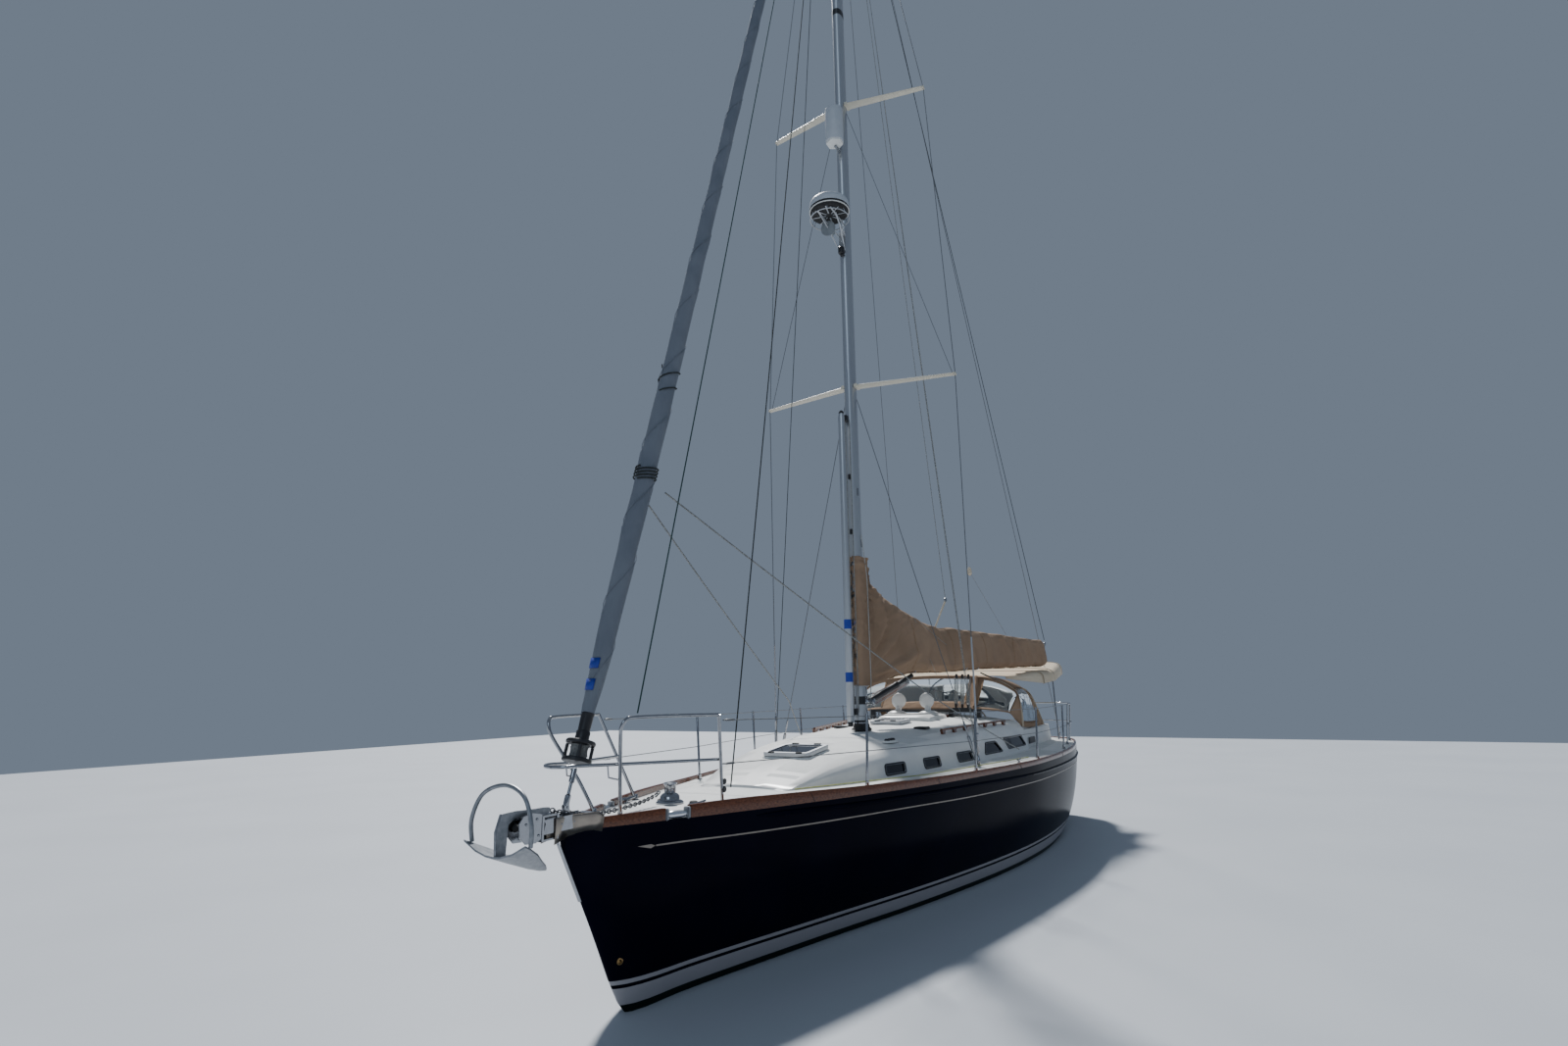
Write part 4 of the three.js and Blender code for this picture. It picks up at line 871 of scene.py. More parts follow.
# Toe rails of teak round both edges, with a steel fairlead set in a break near the bow.
def rail_shape(xs):
    """Teak rail along the port edge over these stations."""
    rows = []
    for x in xs:
        slope = (deck_half(x + 0.005) - deck_half(max(x - 0.005, STERN))) / (0.01 if x > -5.845 else 0.005)
        wide = 0.038 * math.sqrt(1 + slope ** 2)
        outer = deck_half(x) - 0.001
        inner = max(outer - wide, 0.004)
        low = sheer(x) - 0.004
        high = sheer(x) + along(RAIL_HEIGHTS, 1, x)
        mid = outer * 0.85 + inner * 0.15
        rows.append([(x, y, z) for y, z in (
            (outer, low), (outer, high - 0.014), (outer - (outer - mid) * 0.3, high - 0.005), (mid, high),
            (inner * 0.85 + outer * 0.15, high), (inner, high - 0.008), (inner, low))])
    return solid(rows)


aft_x = ([-5.85, -5.847, -5.84, -5.83, -5.82, -5.8, -5.77, -5.74, -5.7, -5.65]
         + [-5.6 + 0.21 * i for i in range(50)] + [4.868])
fore_x = [5.082 + 0.081 * i for i in range(7)]
for side, change in SIDES:
    piece(f"teak_rail_{side}", change(gather(rail_shape(aft_x), rail_shape(fore_x))), "teak",
          replaces=[f"toe_rail_{side}"], angle=50)
joints = []
for x in (-4.6, -2.5, -0.4, 1.7, 3.6):
    outer, high = deck_half(x), sheer(x) + along(RAIL_HEIGHTS, 1, x)
    joints.append(strip([(x, outer + 0.0005, sheer(x)),
                         (x + 0.05, deck_half(x + 0.05) + 0.0005, high - 0.012)], 0.004, 0.002, (0, 1, 0)))
piece("rail_joints", both(*joints), "rubber")

sides = []
for x0, x1 in ((4.866, 4.905), (5.05, 5.084)):
    outer = deck_half((x0 + x1) / 2)
    sides.append(block(x0, x1, outer - 0.045, outer + 0.004, sheer(x0) - 0.004, sheer(x0) + 0.082))
sill_x = (4.9, 4.915, 4.95, 4.98, 5.01, 5.042, 5.055)
sill = [(x, deck_half(x) - 0.016, sheer(x) + 0.034) for x in sill_x]
piece("fairlead_sides", both(*sides), "zinc", bevel=0.006)
piece("fairlead_sills", both(tube(sill, [0.014, 0.024, 0.028, 0.028, 0.028, 0.024, 0.014], 12)), "bright")
cleats = []
for x in (4.72, -0.6, -5.3):
    y = deck_half(x) - 0.1
    z = deck_top(x, y)
    cleats.append(lathe([(0.03, 0), (0.03, 0.008), (0.012, 0.012), (0.012, 0.03), (0.01, 0.034)],
                        (x, y, z), sides=14))
    cleats.append(tube([(x - 0.11, y, z + 0.045), (x, y, z + 0.034), (x + 0.11, y, z + 0.045)],
                       [0.008, 0.014, 0.008], 10))
piece("mooring_cleats", both(*cleats), "steel")

# Stem: steel wrap, roller cheeks, frame, bolts, and the stem band down to the waterline.
stem_rows = []
for x in (5.56, 5.62, 5.68, 5.74, 5.8, 5.86, 5.94):
    y = max(deck_half(min(x, 5.8)) + 0.004, 0.036) + 0.002
    if x > 5.8:
        y += (x - 5.8) * 0.16
    dip = 0.115 + 0.05 * max(x - 5.7, 0) / 0.24
    top = 1.424 if x > 5.6 else 1.4
    stem_rows.append([(x, y, top), (x, y + 0.003, top - 0.012),
                      (x, y * 0.98, top - dip * 0.5), (x, y * 0.9, top - dip)])
# The stem wrap takes the darker strip metal in place of steel, standing in for dark reflections: painted
# reflection.
piece("stem_wrap", both(skin(stem_rows)), "strip", replaces=["stem_plate"], outward=False, thick=0.005)
cheeks = [prism([(6.02, 1.4), (6.06, 1.465), (6.14, 1.482), (6.215, 1.47), (6.25, 1.43), (6.24, 1.35),
                 (6.19, 1.3), (6.1, 1.295), (6.04, 1.32)], "y", 0.048, 0.056),
          block(5.6, 6.06, 0.05, 0.056, 1.335, 1.425), block(5.906, 5.926, 0.045, 0.06, 1.293, 1.452),
          block(6.036, 6.056, 0.045, 0.06, 1.293, 1.452)]
floor_plate = block(5.56, 6.06, -0.052, 0.052, 1.408, 1.416)
cross = [block(5.906, 6.056, -0.055, 0.055, z, z + 0.012) for z in (1.293, 1.44)]
CHEEK_BOLTS = [(5.64, 1.38), (5.76, 1.38), (5.88, 1.38), (6.1, 1.44), (6.19, 1.42), (6.08, 1.34)]
bolt_heads = [lathe([(0.009, 0), (0.009, 0.004), (0.004, 0.007)], (x, 0.056, z), (0, 1, 0), 10)
              for x, z in CHEEK_BOLTS]
piece("bow_roller_frame", gather(both(*cheeks), floor_plate, *cross, both(*bolt_heads)), "steel", bevel=0.002)
rollers = [lathe([(0.02, -0.045), (0.026, -0.035), (0.014, 0), (0.026, 0.035), (0.02, 0.045)],
                 (x, 0, z), (0, 1, 0), 18) for x, z in ((6.19, 1.395), (5.98, 1.385))]
piece("bow_rollers", rollers, "rubber")
stem_line = [Vector((5.806 - (1.18 - z) * 0.571, 0, z)) for z in (1.27, 1.15, 1.0, 0.84)]
bolts = [lathe([(0.008, 0), (0.008, 0.003), (0.003, 0.006)], p, (0.87, 0, -0.5), 10)
         for p in curve(stem_line, 3)[1:-1:2]]
piece("stem_band", gather(strip(stem_line, 0.026, 0.006, (0.87, 0, -0.5)), *bolts), "steel")

# Anchor: dished fluke, bent shank and roll bar, with the chain to the windlass.
hoop = curve([(6.335, 0.25, 1.322), (6.345, 0.255, 1.46), (6.338, 0.175, 1.612), (6.325, 0, 1.668),
              (6.338, -0.175, 1.612), (6.345, -0.255, 1.46), (6.335, -0.25, 1.322)], 8)
FLUKE = [(6.39, 0.262, 1.262, 1.345), (6.33, 0.25, 1.238, 1.318), (6.22, 0.2, 1.195, 1.265),
         (6.1, 0.12, 1.15, 1.2), (6.0, 0.055, 1.12, 1.15), (5.944, 0.008, 1.112, 1.118)]
fluke_rows = []
for x, half, low, high in FLUKE:
    top = [Vector((x, half * t, low + (high - low) * t * t)) for t in (-1, -0.6, -0.25, 0, 0.25, 0.6, 1)]
    fluke_rows.append(top + [p - Vector((0, 0, 0.012)) for p in reversed(top)])
shank = prism([(6.375, 1.25), (6.385, 1.4), (6.35, 1.5), (6.25, 1.505), (5.95, 1.492), (5.935, 1.475),
               (5.95, 1.455), (6.24, 1.462), (6.29, 1.43), (6.3, 1.24)], "y", -0.011, 0.011)
piece("anchor_galvanised", gather(solid(fluke_rows), shank, tube(hoop, 0.014, 10)), "zinc",
      replaces=["anchor"], bevel=0.003, angle=40)
chain_line = curve([(5.94, 0, 1.475), (5.8, 0.015, 1.435), (5.5, 0.03, 1.392), (5.1, 0.03, 1.4),
                    (4.8, 0.0, 1.43), (4.745, 0.0, 1.462)], 10)
links, reach = [], 0.0
for a, b in zip(chain_line, chain_line[1:]):
    reach += (b - a).length
    while reach > 0.03:
        reach -= 0.03
        way = (b - a).normalized()
        flat = way.cross(Vector((0, 0, 1))) if len(links) % 2 else way.cross(Vector((0, 1, 0)))
        links.append(link(b - way * reach, way, 0.042, 0.026, 0.0052, flat))
piece("anchor_chain", links, "chain")

# Windlass with its drum, gypsy and base plate, beside a deck cleat.
WINDLASS = (4.63, 0.02, deck_top(4.65, 0))
drum = lathe([(0.112, 0), (0.112, 0.01), (0.1, 0.02), (0.082, 0.028), (0.078, 0.056), (0.064, 0.072),
              (0.044, 0.082), (0.04, 0.112), (0.044, 0.134), (0.054, 0.146), (0.054, 0.157), (0.032, 0.163),
              (0.012, 0.165)], about(WINDLASS, 0, 0, 0.001), sides=32)
ribs = [tube([about(WINDLASS, 0.042, a, 0.084), about(WINDLASS, 0.043, a, 0.134)], 0.004, 6)
        for a in turns(8)]
piece("windlass_drum", gather(drum, *ribs), "steel", replaces=["windlass"])
buttons = both(lathe([(0.035, 0), (0.035, 0.008), (0.026, 0.014), (0.01, 0.016)],
                     (4.5, 0.16, deck_top(4.5, 0.16)), sides=16))
piece("foot_buttons", buttons, "rubber")

# Furler: drum with cage and wound line, sleeve, toggle, and the furled sail with its wraps.
stay_way = (STAY_TOP - STAY_LOW).normalized()
FLANGE = [(0.066, 0), (0.099, 0.001), (0.105, 0.008), (0.105, 0.022), (0.099, 0.029), (0.066, 0.03)]
cage = [lathe(FLANGE, stay_at(z), stay_way, 32) for z in (1.752, 1.868)]
posts = [tube([stay_at(1.77, a, 0.09), stay_at(1.88, a, 0.09)], 0.012, 8) for a in turns(4, 0.75)]
sleeve = lathe([(0.044, 0), (0.05, 0.008), (0.05, 0.06), (0.043, 0.07), (0.046, 0.17), (0.05, 0.19),
                (0.036, 0.205)], stay_at(1.896), stay_way, 20)
piece("furler_cage", gather(*cage, *posts, sleeve), "black", replaces=["furler_drum"])
wound = []
for k in range(150):
    level = 1.786 + 0.08 * k / 149
    wound.append(stay_at(level, k * 2 * math.pi / 14, 0.056 + 0.009 * abs(k / 74.5 - 1) ** 2))
core = lathe([(0.064, 0), (0.056, 0.03), (0.056, 0.05), (0.064, 0.085)], stay_at(1.783), stay_way, 20)
piece("furling_line_wound", gather(core, tube(wound, 0.0052, 6)), "rope")
toggle = [lathe([(0.016, 0), (0.021, 0.02), (0.021, 0.07), (0.012, 0.08), (0.012, 0.15), (0.02, 0.16),
                 (0.02, 0.24), (0.013, 0.27)], stay_at(1.475), stay_way, 14),
          both(prism([(5.76, 1.405), (5.8, 1.405), (5.81, 1.48), (5.775, 1.5)], "y", 0.01, 0.018)),
          tube([(5.787, -0.024, 1.47), (5.787, 0.024, 1.47)], 0.008, 10)]
piece("stay_toggle", toggle, "steel")

SAIL = [(2.08, 0.05), (2.3, 0.066), (2.7, 0.078), (3.3, 0.084), (4.2, 0.087), (5.9, 0.08),
        (9.0, 0.07), (17.8, 0.045)]
sail_rows = []
for i in range(341):
    z = 2.08 + 15.72 * (i / 340) ** 1.35
    radius = along(SAIL, 1, z)
    ring = []
    for a in turns(24):
        wrap_phase = (a / (2 * math.pi) + z * 1.45) % 1.0
        crease = noise.noise(Vector((math.cos(a) * 1.4, math.sin(a) * 1.4, z * 3.2))) * 0.06
        ring.append(stay_at(z, a, radius * (0.92 + 0.1 * wrap_phase ** 2.5 + crease)))
    sail_rows.append(ring)
piece("furled_sail", solid(sail_rows), "sailcloth", replaces=["furled_headsail"], angle=60)


def wraps(low, high, pitch, radius_share, count=14):
    """Turns of a line round the furled sail between two heights."""
    total = (high - low) / pitch
    steps = max(int(total * count), 3)
    return [stay_at(low + (high - low) * k / steps, 2 * math.pi * total * k / steps,
                    along(SAIL, 1, low + (high - low) * k / steps) * radius_share) for k in range(steps + 1)]


piece("sail_seams", tube(wraps(2.3, 12.0, 0.69, 1.025), 0.003, 5), "sailcloth")
piece("sheet_turns", gather(tube(wraps(3.94, 4.06, 0.03, 1.1), 0.007, 6),
                            tube(wraps(4.8, 5.1, 0.16, 1.06), 0.006, 6)), "rope_dark")
tapes = []
for low, high in ((2.245, 2.325), (2.4, 2.475)):
    rows = [[stay_at(z, 0.216 * k - 0.65, along(SAIL, 1, z) * 1.045) for k in range(7)] for z in (low, high)]
    tapes.append(skin(rows))
piece("sail_tape", tapes, "blue", thick=0.002)

# Pulpit, pushpit and lifelines.
PULPIT_SIDE = [(5.363, 0.12, 1.375), (5.47, 0.198, 1.62), (5.615, 0.31, 1.9), (5.64, 0.336, 1.99),
               (5.615, 0.356, 2.04), (5.545, 0.378, 2.053), (5.2, 0.47, 2.055), (4.808, 0.596, 2.05)]
PULPIT_LOW = [(4.64, 0.497, 1.705), (5.49, 0.213, 1.73), (5.8, 0.15, 1.743), (5.905, 0.09, 1.742),
              (5.936, 0.0, 1.74)]
side_tubes = [tube(curve(PULPIT_SIDE, 8), 0.013, 12), tube(curve(PULPIT_LOW, 8), 0.012, 12),
              tube([(4.493, 0.432, deck_top(4.493, 0.432)), (4.808, 0.596, 2.05)], 0.013, 12),
              tube([(5.6, 0.191, 1.735), (5.585, 0.192, 1.648), (5.47, 0.198, 1.62)], 0.006, 8)]
RAIL_FOOT = [(0.032, 0), (0.032, 0.006), (0.018, 0.012), (0.017, 0.045), (0.014, 0.05)]
bases = [lathe(RAIL_FOOT, (x, y, deck_top(x, y) - 0.002), sides=16)
         for x, y in ((5.363, 0.12), (4.493, 0.432))]
piece("pulpit_rails", both(*side_tubes, *bases), "steel", replaces=["pulpit"])
blocks = [lathe([(0.02, -0.012), (0.024, -0.006), (0.024, 0.006), (0.02, 0.012)], (4.54, 0.475, z),
                (0, 1, 0), 14) for z in (1.47, 1.53)]
piece("lead_blocks", blocks, "black")

TOP_RAIL = [(-4.2, 1.85, 1.96), (-4.9, 1.79, 1.96), (-5.5, 1.62, 1.96), (-5.66, 1.2, 1.96), (-5.68, 0, 1.96)]
top_rail = TOP_RAIL + [(x, -y, z) for x, y, z in TOP_RAIL[-2::-1]]
mid_rail = [(x, y, 1.64) for x, y, _ in top_rail]
legs = []
for x, y in ((-4.2, 1.79), (-5.1, 1.7), (-5.674, 0.7)):
    legs.append(tube([(x, y, deck_top(x, y)), (x, y + (0.06 if y > 1 else 0), 1.96)], 0.013, 10))
    legs.append(lathe(RAIL_FOOT, (x, y, deck_top(x, y)), sides=14))
piece("pushpit_rails", gather(tube(curve(top_rail, 8), 0.013, 12), tube(curve(mid_rail, 8), 0.01, 10),
                              both(*legs)), "steel", replaces=["pushpit"])

STANCHIONS = [2.77, 0.68, -1.38, -3.25]
LIFELINE_HEIGHT = 0.690
line_ends = [(4.74, 0.591)] + [(x, deck_half(x) - 0.075) for x in STANCHIONS] + [(-4.18, 1.85)]
for side, change in SIDES:
    wires, posts = [], []
    for share in (0.97, 0.5):
        points = [Vector((x, y, sheer(x) + DECK_THICK + LIFELINE_HEIGHT * share)) for x, y in line_ends]
        wires.append(tube(points, 0.004, 6))
        for end, nxt in ((points[0], points[1]), (points[-1], points[-2])):
            way = (nxt - end).normalized()
            wires.append(tube([end, end + way * 0.03, end + way * 0.035, end + way * 0.12, end + way * 0.13],
                              [0.006, 0.006, 0.009, 0.009, 0.005], 8))
    for x, y in line_ends[1:-1]:
        high = sheer(x) + DECK_THICK + LIFELINE_HEIGHT
        posts.append(tube([(x - 0.02, y - 0.03, deck_top(x, y)), (x, y, high - 0.006), (x, y, high)],
                          [0.013, 0.0125, 0.009], 12))
        posts.append(lathe([(0.036, 0), (0.036, 0.006), (0.02, 0.012), (0.018, 0.06), (0.014, 0.065)],
                           (x - 0.02, y - 0.03, deck_top(x, y) - 0.002), (0.03, 0.04, 1), 16))
    piece(f"lifeline_posts_{side}", change(gather(*posts)), "steel", replaces=[f"lifelines_{side}"])
    piece(f"lifeline_wires_{side}", change(gather(*wires)), "wire")


# Mast: extruded section with a sail track, collar, tapes, halyard winches and exits.
def mast_ring(z, grow=0.0):
    """Ring of the mast's section, a little flattened at the track side."""
    ring = []
    for a in turns(36):
        x = (MAST_LONG / 2 + grow) * math.copysign(abs(math.cos(a)) ** 0.85, math.cos(a))
        y = (MAST_WIDE / 2 + grow) * math.copysign(abs(math.sin(a)) ** 0.85, math.sin(a))
        ring.append((MAST_X + x, y, z))
    return ring


track_x = MAST_X - MAST_LONG / 2
mast_shape = gather(solid([mast_ring(z) for z in (MAST_FOOT, 6.0, 12.0, MAST_HEAD)]),
                    block(track_x - 0.012, track_x + 0.004, -0.016, 0.016, 2.62, MAST_HEAD),
                    block(track_x - 0.02, track_x - 0.012, -0.01, 0.01, 2.62, MAST_HEAD))
piece("mast_tube", mast_shape, "alloy", replaces=["mast"])
boot_rows = [mast_ring(MAST_FOOT - 0.036, 0.045), mast_ring(MAST_FOOT - 0.02, 0.04),
             mast_ring(MAST_FOOT - 0.006, 0.022), mast_ring(MAST_FOOT + 0.06, 0.006),
             mast_ring(MAST_FOOT + 0.085, 0.004)]
piece("mast_boot_rubber", solid(boot_rows), "rubber", replaces=["mast_boot"])
clamp = solid([mast_ring(MAST_FOOT + z, 0.01) for z in (0.045, 0.06)])
head_box = gather(block(0.255, 0.775, -0.042, 0.042, MAST_HEAD + 0.004, MAST_HEAD + 0.062),
                  block(0.33, 0.68, -0.06, 0.06, MAST_HEAD - 0.004, MAST_HEAD + 0.006))
sheaves = gather(*[lathe([(0.045, -0.035), (0.05, -0.025), (0.042, 0), (0.05, 0.025), (0.045, 0.035)],
                         (x, 0, MAST_HEAD + 0.03), (0, 1, 0), 20) for x in (0.27, 0.745)])
piece("mast_clamp", clamp, "steel")
piece("masthead_box", head_box, "alloy", replaces=["masthead"], bevel=0.006)
piece("masthead_sheaves", sheaves, "black")
tapes = [solid([mast_ring(z, 0.0015), mast_ring(z + 0.1, 0.0015)]) for z in (2.05, 12.6)]
piece("mast_tape", tapes, "black", slot="black_rubber")
exits = [both(block(MAST_X - 0.02 + dx, MAST_X + 0.02 + dx, 0.072, 0.078, z, z + 0.11))
         for dx, z in ((0.03, 3.4), (-0.03, 4.1), (0.03, 4.8))]
piece("halyard_exits", exits, "steel", bevel=0.003)
WINCH = [(0.05, 0), (0.052, 0.012), (0.04, 0.022), (0.032, 0.04), (0.032, 0.085), (0.046, 0.105),
         (0.046, 0.118), (0.024, 0.122), (0.02, 0.118)]
mast_winch = lathe(WINCH, (MAST_X - 0.01, 0.066, 2.08), (0, 1, 0), 24)
cleats = [tube([(MAST_X + 0.04, 0.088, z - 0.07), (MAST_X + 0.04, 0.104, z),
                (MAST_X + 0.04, 0.088, z + 0.07)], [0.006, 0.01, 0.006], 8) for z in (1.93, 2.2)]
piece("mast_winches", both(mast_winch, *cleats), "steel")

# Spreaders with roots and tips, and the wire stays with their turnbuckles.
fittings = []


def spreader_tip(z, reach, grow=0.0):
    return Vector((MAST_X - (reach + grow) * SWEEP, reach + grow, z))


for level, (z, reach) in zip(("lower", "upper"), SPREADERS):
    rows = []
    for k in range(9):
        t = k / 8
        y = MAST_WIDE / 2 + (reach - MAST_WIDE / 2) * t
        wide, thick = 0.073 - 0.03 * t, 0.021 - 0.007 * t
        rows.append([(MAST_X - y * SWEEP + wide * math.cos(a), y,
                      z + thick * math.sin(a) * (1.15 - 0.3 * math.cos(a))) for a in turns(20)])
    shape = solid(rows)
    for side, change in SIDES:
        piece(f"spreader_{level}_wing_{side}", change(shape), "cream", replaces=[f"spreader_{level}_{side}"])
    fittings.append(block(MAST_X - 0.09, MAST_X + 0.06, MAST_WIDE / 2 - 0.004, MAST_WIDE / 2 + 0.045,
                          z - 0.026, z + 0.026))
    tip = spreader_tip(z, reach)
    fittings.append(block(tip.x - 0.035, tip.x + 0.032, tip.y - 0.02, tip.y + 0.022, z - 0.017, z + 0.017))
piece("spreader_fittings", both(*fittings), "cream", bevel=0.006)


def turnbuckle(low, way, scale=1.0):
    """Bottlescrew with its fork, from its pin upwards along a stay."""
    profile = [(0.008, 0), (0.014, 0.01), (0.014, 0.05), (0.007, 0.06), (0.007, 0.1), (0.014, 0.11),
               (0.015, 0.25), (0.007, 0.26), (0.007, 0.31), (0.009, 0.315), (0.008, 0.39), (0.005, 0.4)]
    return lathe([(r * scale, h * scale) for r, h in profile], low, way, 14)


lower_tip, upper_tip = (spreader_tip(z, reach, 0.009) for z, reach in SPREADERS)
cap_line = [CHAINPLATE, lower_tip, upper_tip, Vector((MAST_X, 0.084, 18.15))]
lower_line = [CHAINPLATE - Vector((0.06, 0.04, 0)), Vector((MAST_X - 0.02, 0.084, 6.2))]
back_line = [Vector((-5.5, 1.48, 1.4)), Vector((0.262, 0.052, MAST_HEAD + 0.03))]
# Stays on each side: name, line, radius and the scale of the turnbuckle.
STAYS = [("cap_shroud", cap_line, 0.0055, 1.45), ("lower_shroud", lower_line, 0.005, 1.35),
         ("backstay", back_line, 0.005, 1.0)]
inner_line = [Vector(lower_tip) - Vector((0, 0.03, 0)), Vector((MAST_X - 0.02, 0.08, 10.85))]
for side, change in SIDES:
    screws = []
    for name, line, radius, scale in STAYS:
        piece(f"{name}_wire_{side}", change(tube(line, radius, 8)), "wire", replaces=[f"{name}_{side}"])
        way = (line[1] - line[0]).normalized()
        screws.append(turnbuckle(line[0] - way * 0.03, way, scale))
    piece(f"diagonal_stay_{side}", change(tube(inner_line, 0.0042, 6)), "wire")
    screws.append(prism([(CHAINPLATE.x - 0.1, 1.25), (CHAINPLATE.x + 0.04, 1.25),
                         (CHAINPLATE.x + 0.02, 1.37), (CHAINPLATE.x - 0.08, 1.37)], "y", 1.378, 1.386))
    screws.append(block(-5.56, -5.44, 1.475, 1.483, 1.27, 1.42))
    piece(f"turnbuckles_{side}", change(gather(*screws)), "steel")
    sleeve = tube([CHAINPLATE.lerp(lower_tip, 0.115), CHAINPLATE.lerp(lower_tip, 0.3)], 0.011, 8)
    piece(f"shroud_sleeve_{side}", change(sleeve), "alloy", slot="")

# Radar: dome with its dark band and guard ring, bracket, horn and steaming light.
RADAR = Vector((1.06, 0, 8.79))
RADAR_FORM = [(0.268, 0.074), (0.281, 0.08), (0.28, 0.14), (0.272, 0.172), (0.252, 0.2), (0.2, 0.226),
              (0.1, 0.245), (0.01, 0.25)]
# The dome's grey colour is painted shade on white plastic.
piece("radar_cover", lathe(RADAR_FORM, RADAR, sides=40), "dome", replaces=["radar_dome"])
piece("radar_band", lathe([(0.276, 0.044), (0.28, 0.05), (0.28, 0.076), (0.276, 0.082)], RADAR, sides=40),
      "rubber", slot="black_plastic")
piece("radar_rim", lathe([(0.27, 0.034), (0.283, 0.036), (0.283, 0.045), (0.27, 0.047)], RADAR, sides=40),
      "white")
underside = lathe([(0.01, 0), (0.246, 0.001), (0.262, 0.012), (0.272, 0.036), (0.01, 0.05)], RADAR, sides=40)
piece("radar_underside", underside, "rubber", slot="black_plastic")
GUARD_RADIUS, GUARD_DROP = 0.272, -0.075
ribs = [strip([about(RADAR, 0.05, a, -0.01), about(RADAR, 0.235, a, -0.01)], 0.016, 0.006)
        for a in turns(8, 0.2)]
guard_points = [about(RADAR, GUARD_RADIUS, a, GUARD_DROP) for a in turns(40)]
guard = tube(guard_points + guard_points[:1], 0.008, 8)
struts = [tube([about(RADAR, GUARD_RADIUS, a, GUARD_DROP), about(RADAR, 0.24, a, 0.004)], 0.006, 8)
          for a in turns(6, 0.3)]
arms = both(tube([(0.628, 0.04, 8.46), (0.9, 0.09, 8.69), (1.1, 0.11, 8.78)], 0.01, 8),
            tube([(0.628, 0.045, 8.7), (1.15, 0.11, 8.775)], 0.009, 8))
plates = [block(0.62, 0.632, -0.05, 0.05, 8.42, 8.77), block(0.75, 1.25, -0.11, -0.085, 8.772, 8.782),
          block(0.75, 1.25, 0.085, 0.11, 8.772, 8.782)]
piece("radar_mount", gather(guard, arms, *struts, *ribs, *plates), "alloy", slot="stainless",
      replaces=["radar_bracket"], bevel=0.002)
# The horn is white plastic given the darker grey engine paint, so its floor-lit side looks shaded: painted
# shade.
horn = lathe([(0.03, 0), (0.048, 0.02), (0.05, 0.09), (0.03, 0.12), (0.045, 0.15), (0.104, 0.2),
              (0.11, 0.206), (0.107, 0.212), (0.01, 0.214)], (0.715, -0.11, 8.735), (1, 0.1, -0.22), 28)
piece("loudhailer", horn, "engine", slot="white_plastic")
light = lathe([(0.02, 0), (0.045, 0.01), (0.045, 0.09), (0.03, 0.11), (0.01, 0.115)], (0.675, 0, 8.39),
              sides=20)
piece("steaming_light", gather(light, block(0.61, 0.68, -0.03, 0.03, 8.38, 8.395)), "black", bevel=0.003)
REFLECTOR_X = MAST_X + 0.285
reflector = lathe([(0.1, 0), (0.128, 0.01), (0.133, 0.03), (0.133, 0.54), (0.128, 0.56), (0.1, 0.57)],
                  (REFLECTOR_X, 0, 10.15), sides=36)
# The reflector can takes the same grey: painted shade.
piece("radar_reflector_can", reflector, "dome", replaces=["radar_reflector"])
cap_ring = lathe([(0.09, 0), (0.126, 0.006), (0.13, 0.034), (0.1, 0.036)], (REFLECTOR_X, 0, 10.125), sides=6)
piece("reflector_cap", cap_ring, "white")
brackets = [block(MAST_X + 0.1, MAST_X + 0.17, -0.02, 0.02, z, z + 0.03) for z in (10.25, 10.6)]
brackets.append(block(MAST_X + 0.1, MAST_X + 0.27, -0.018, 0.018, 10.104, 10.122))
piece("reflector_mounts", brackets, "zinc", slot="stainless", bevel=0.003)

# Spinnaker pole stowed upright before the mast, with its end fittings, cars and lift.
POLE_X, POLE_Y, POLE_LOW, POLE_TOP = MAST_X + 0.236, -0.05, 1.78, 5.98


def pole_at(z):
    return (POLE_X, POLE_Y, z)


pole_heights = (POLE_LOW + 0.06, POLE_LOW + 0.1, POLE_TOP - 0.1, POLE_TOP - 0.05)
pole = tube([pole_at(z) for z in pole_heights], [0.036, 0.046, 0.046, 0.036], 24)
piece("pole_tube", pole, "alloy", replaces=["spinnaker_pole"])
ends = [lathe([(0.03, 0), (0.036, 0.02), (0.036, 0.07), (0.03, 0.09)], pole_at(POLE_LOW), sides=18),
        lathe([(0.036, 0), (0.036, 0.03), (0.024, 0.05), (0.014, 0.06)], pole_at(POLE_TOP - 0.06), sides=18)]
cars = [block(MAST_X + 0.105, POLE_X - 0.03, -0.06, 0.01, z, z + 0.08) for z in (1.92, POLE_TOP - 0.14)]
cars += [block(MAST_X + 0.118, MAST_X + 0.15, -0.018, 0.018, z, z + 0.07) for z in (2.62, 3.42, 4.26, 5.02)]
piece("pole_fittings", gather(*ends, *cars), "black", bevel=0.003)
front_x = MAST_X + MAST_LONG / 2
track = block(front_x - 0.002, front_x + 0.012, -0.016, 0.016, 1.88, 6.6)
piece("pole_track", track, "alloy", bevel=0.003)
car_lines = [tube([(MAST_X + 0.15, y, 1.95), (MAST_X + 0.15, y, 5.86)], 0.006, 6) for y in (0.03, -0.03)]
piece("pole_car_line", car_lines, "rope")
bands = [tube([pole_at(z), pole_at(z + 0.12)], 0.0475, 24) for z in (2.33, 3.0)]
piece("pole_tape", bands, "blue")


# Boom with its end fitting, and the vang between mast and boom.
def boom_ring(back, scale):
    return [boom_at(back, 0.055 * scale * math.cos(a), BOOM_RISE * back + 0.085 * scale * math.sin(a))
            for a in turns(28)]


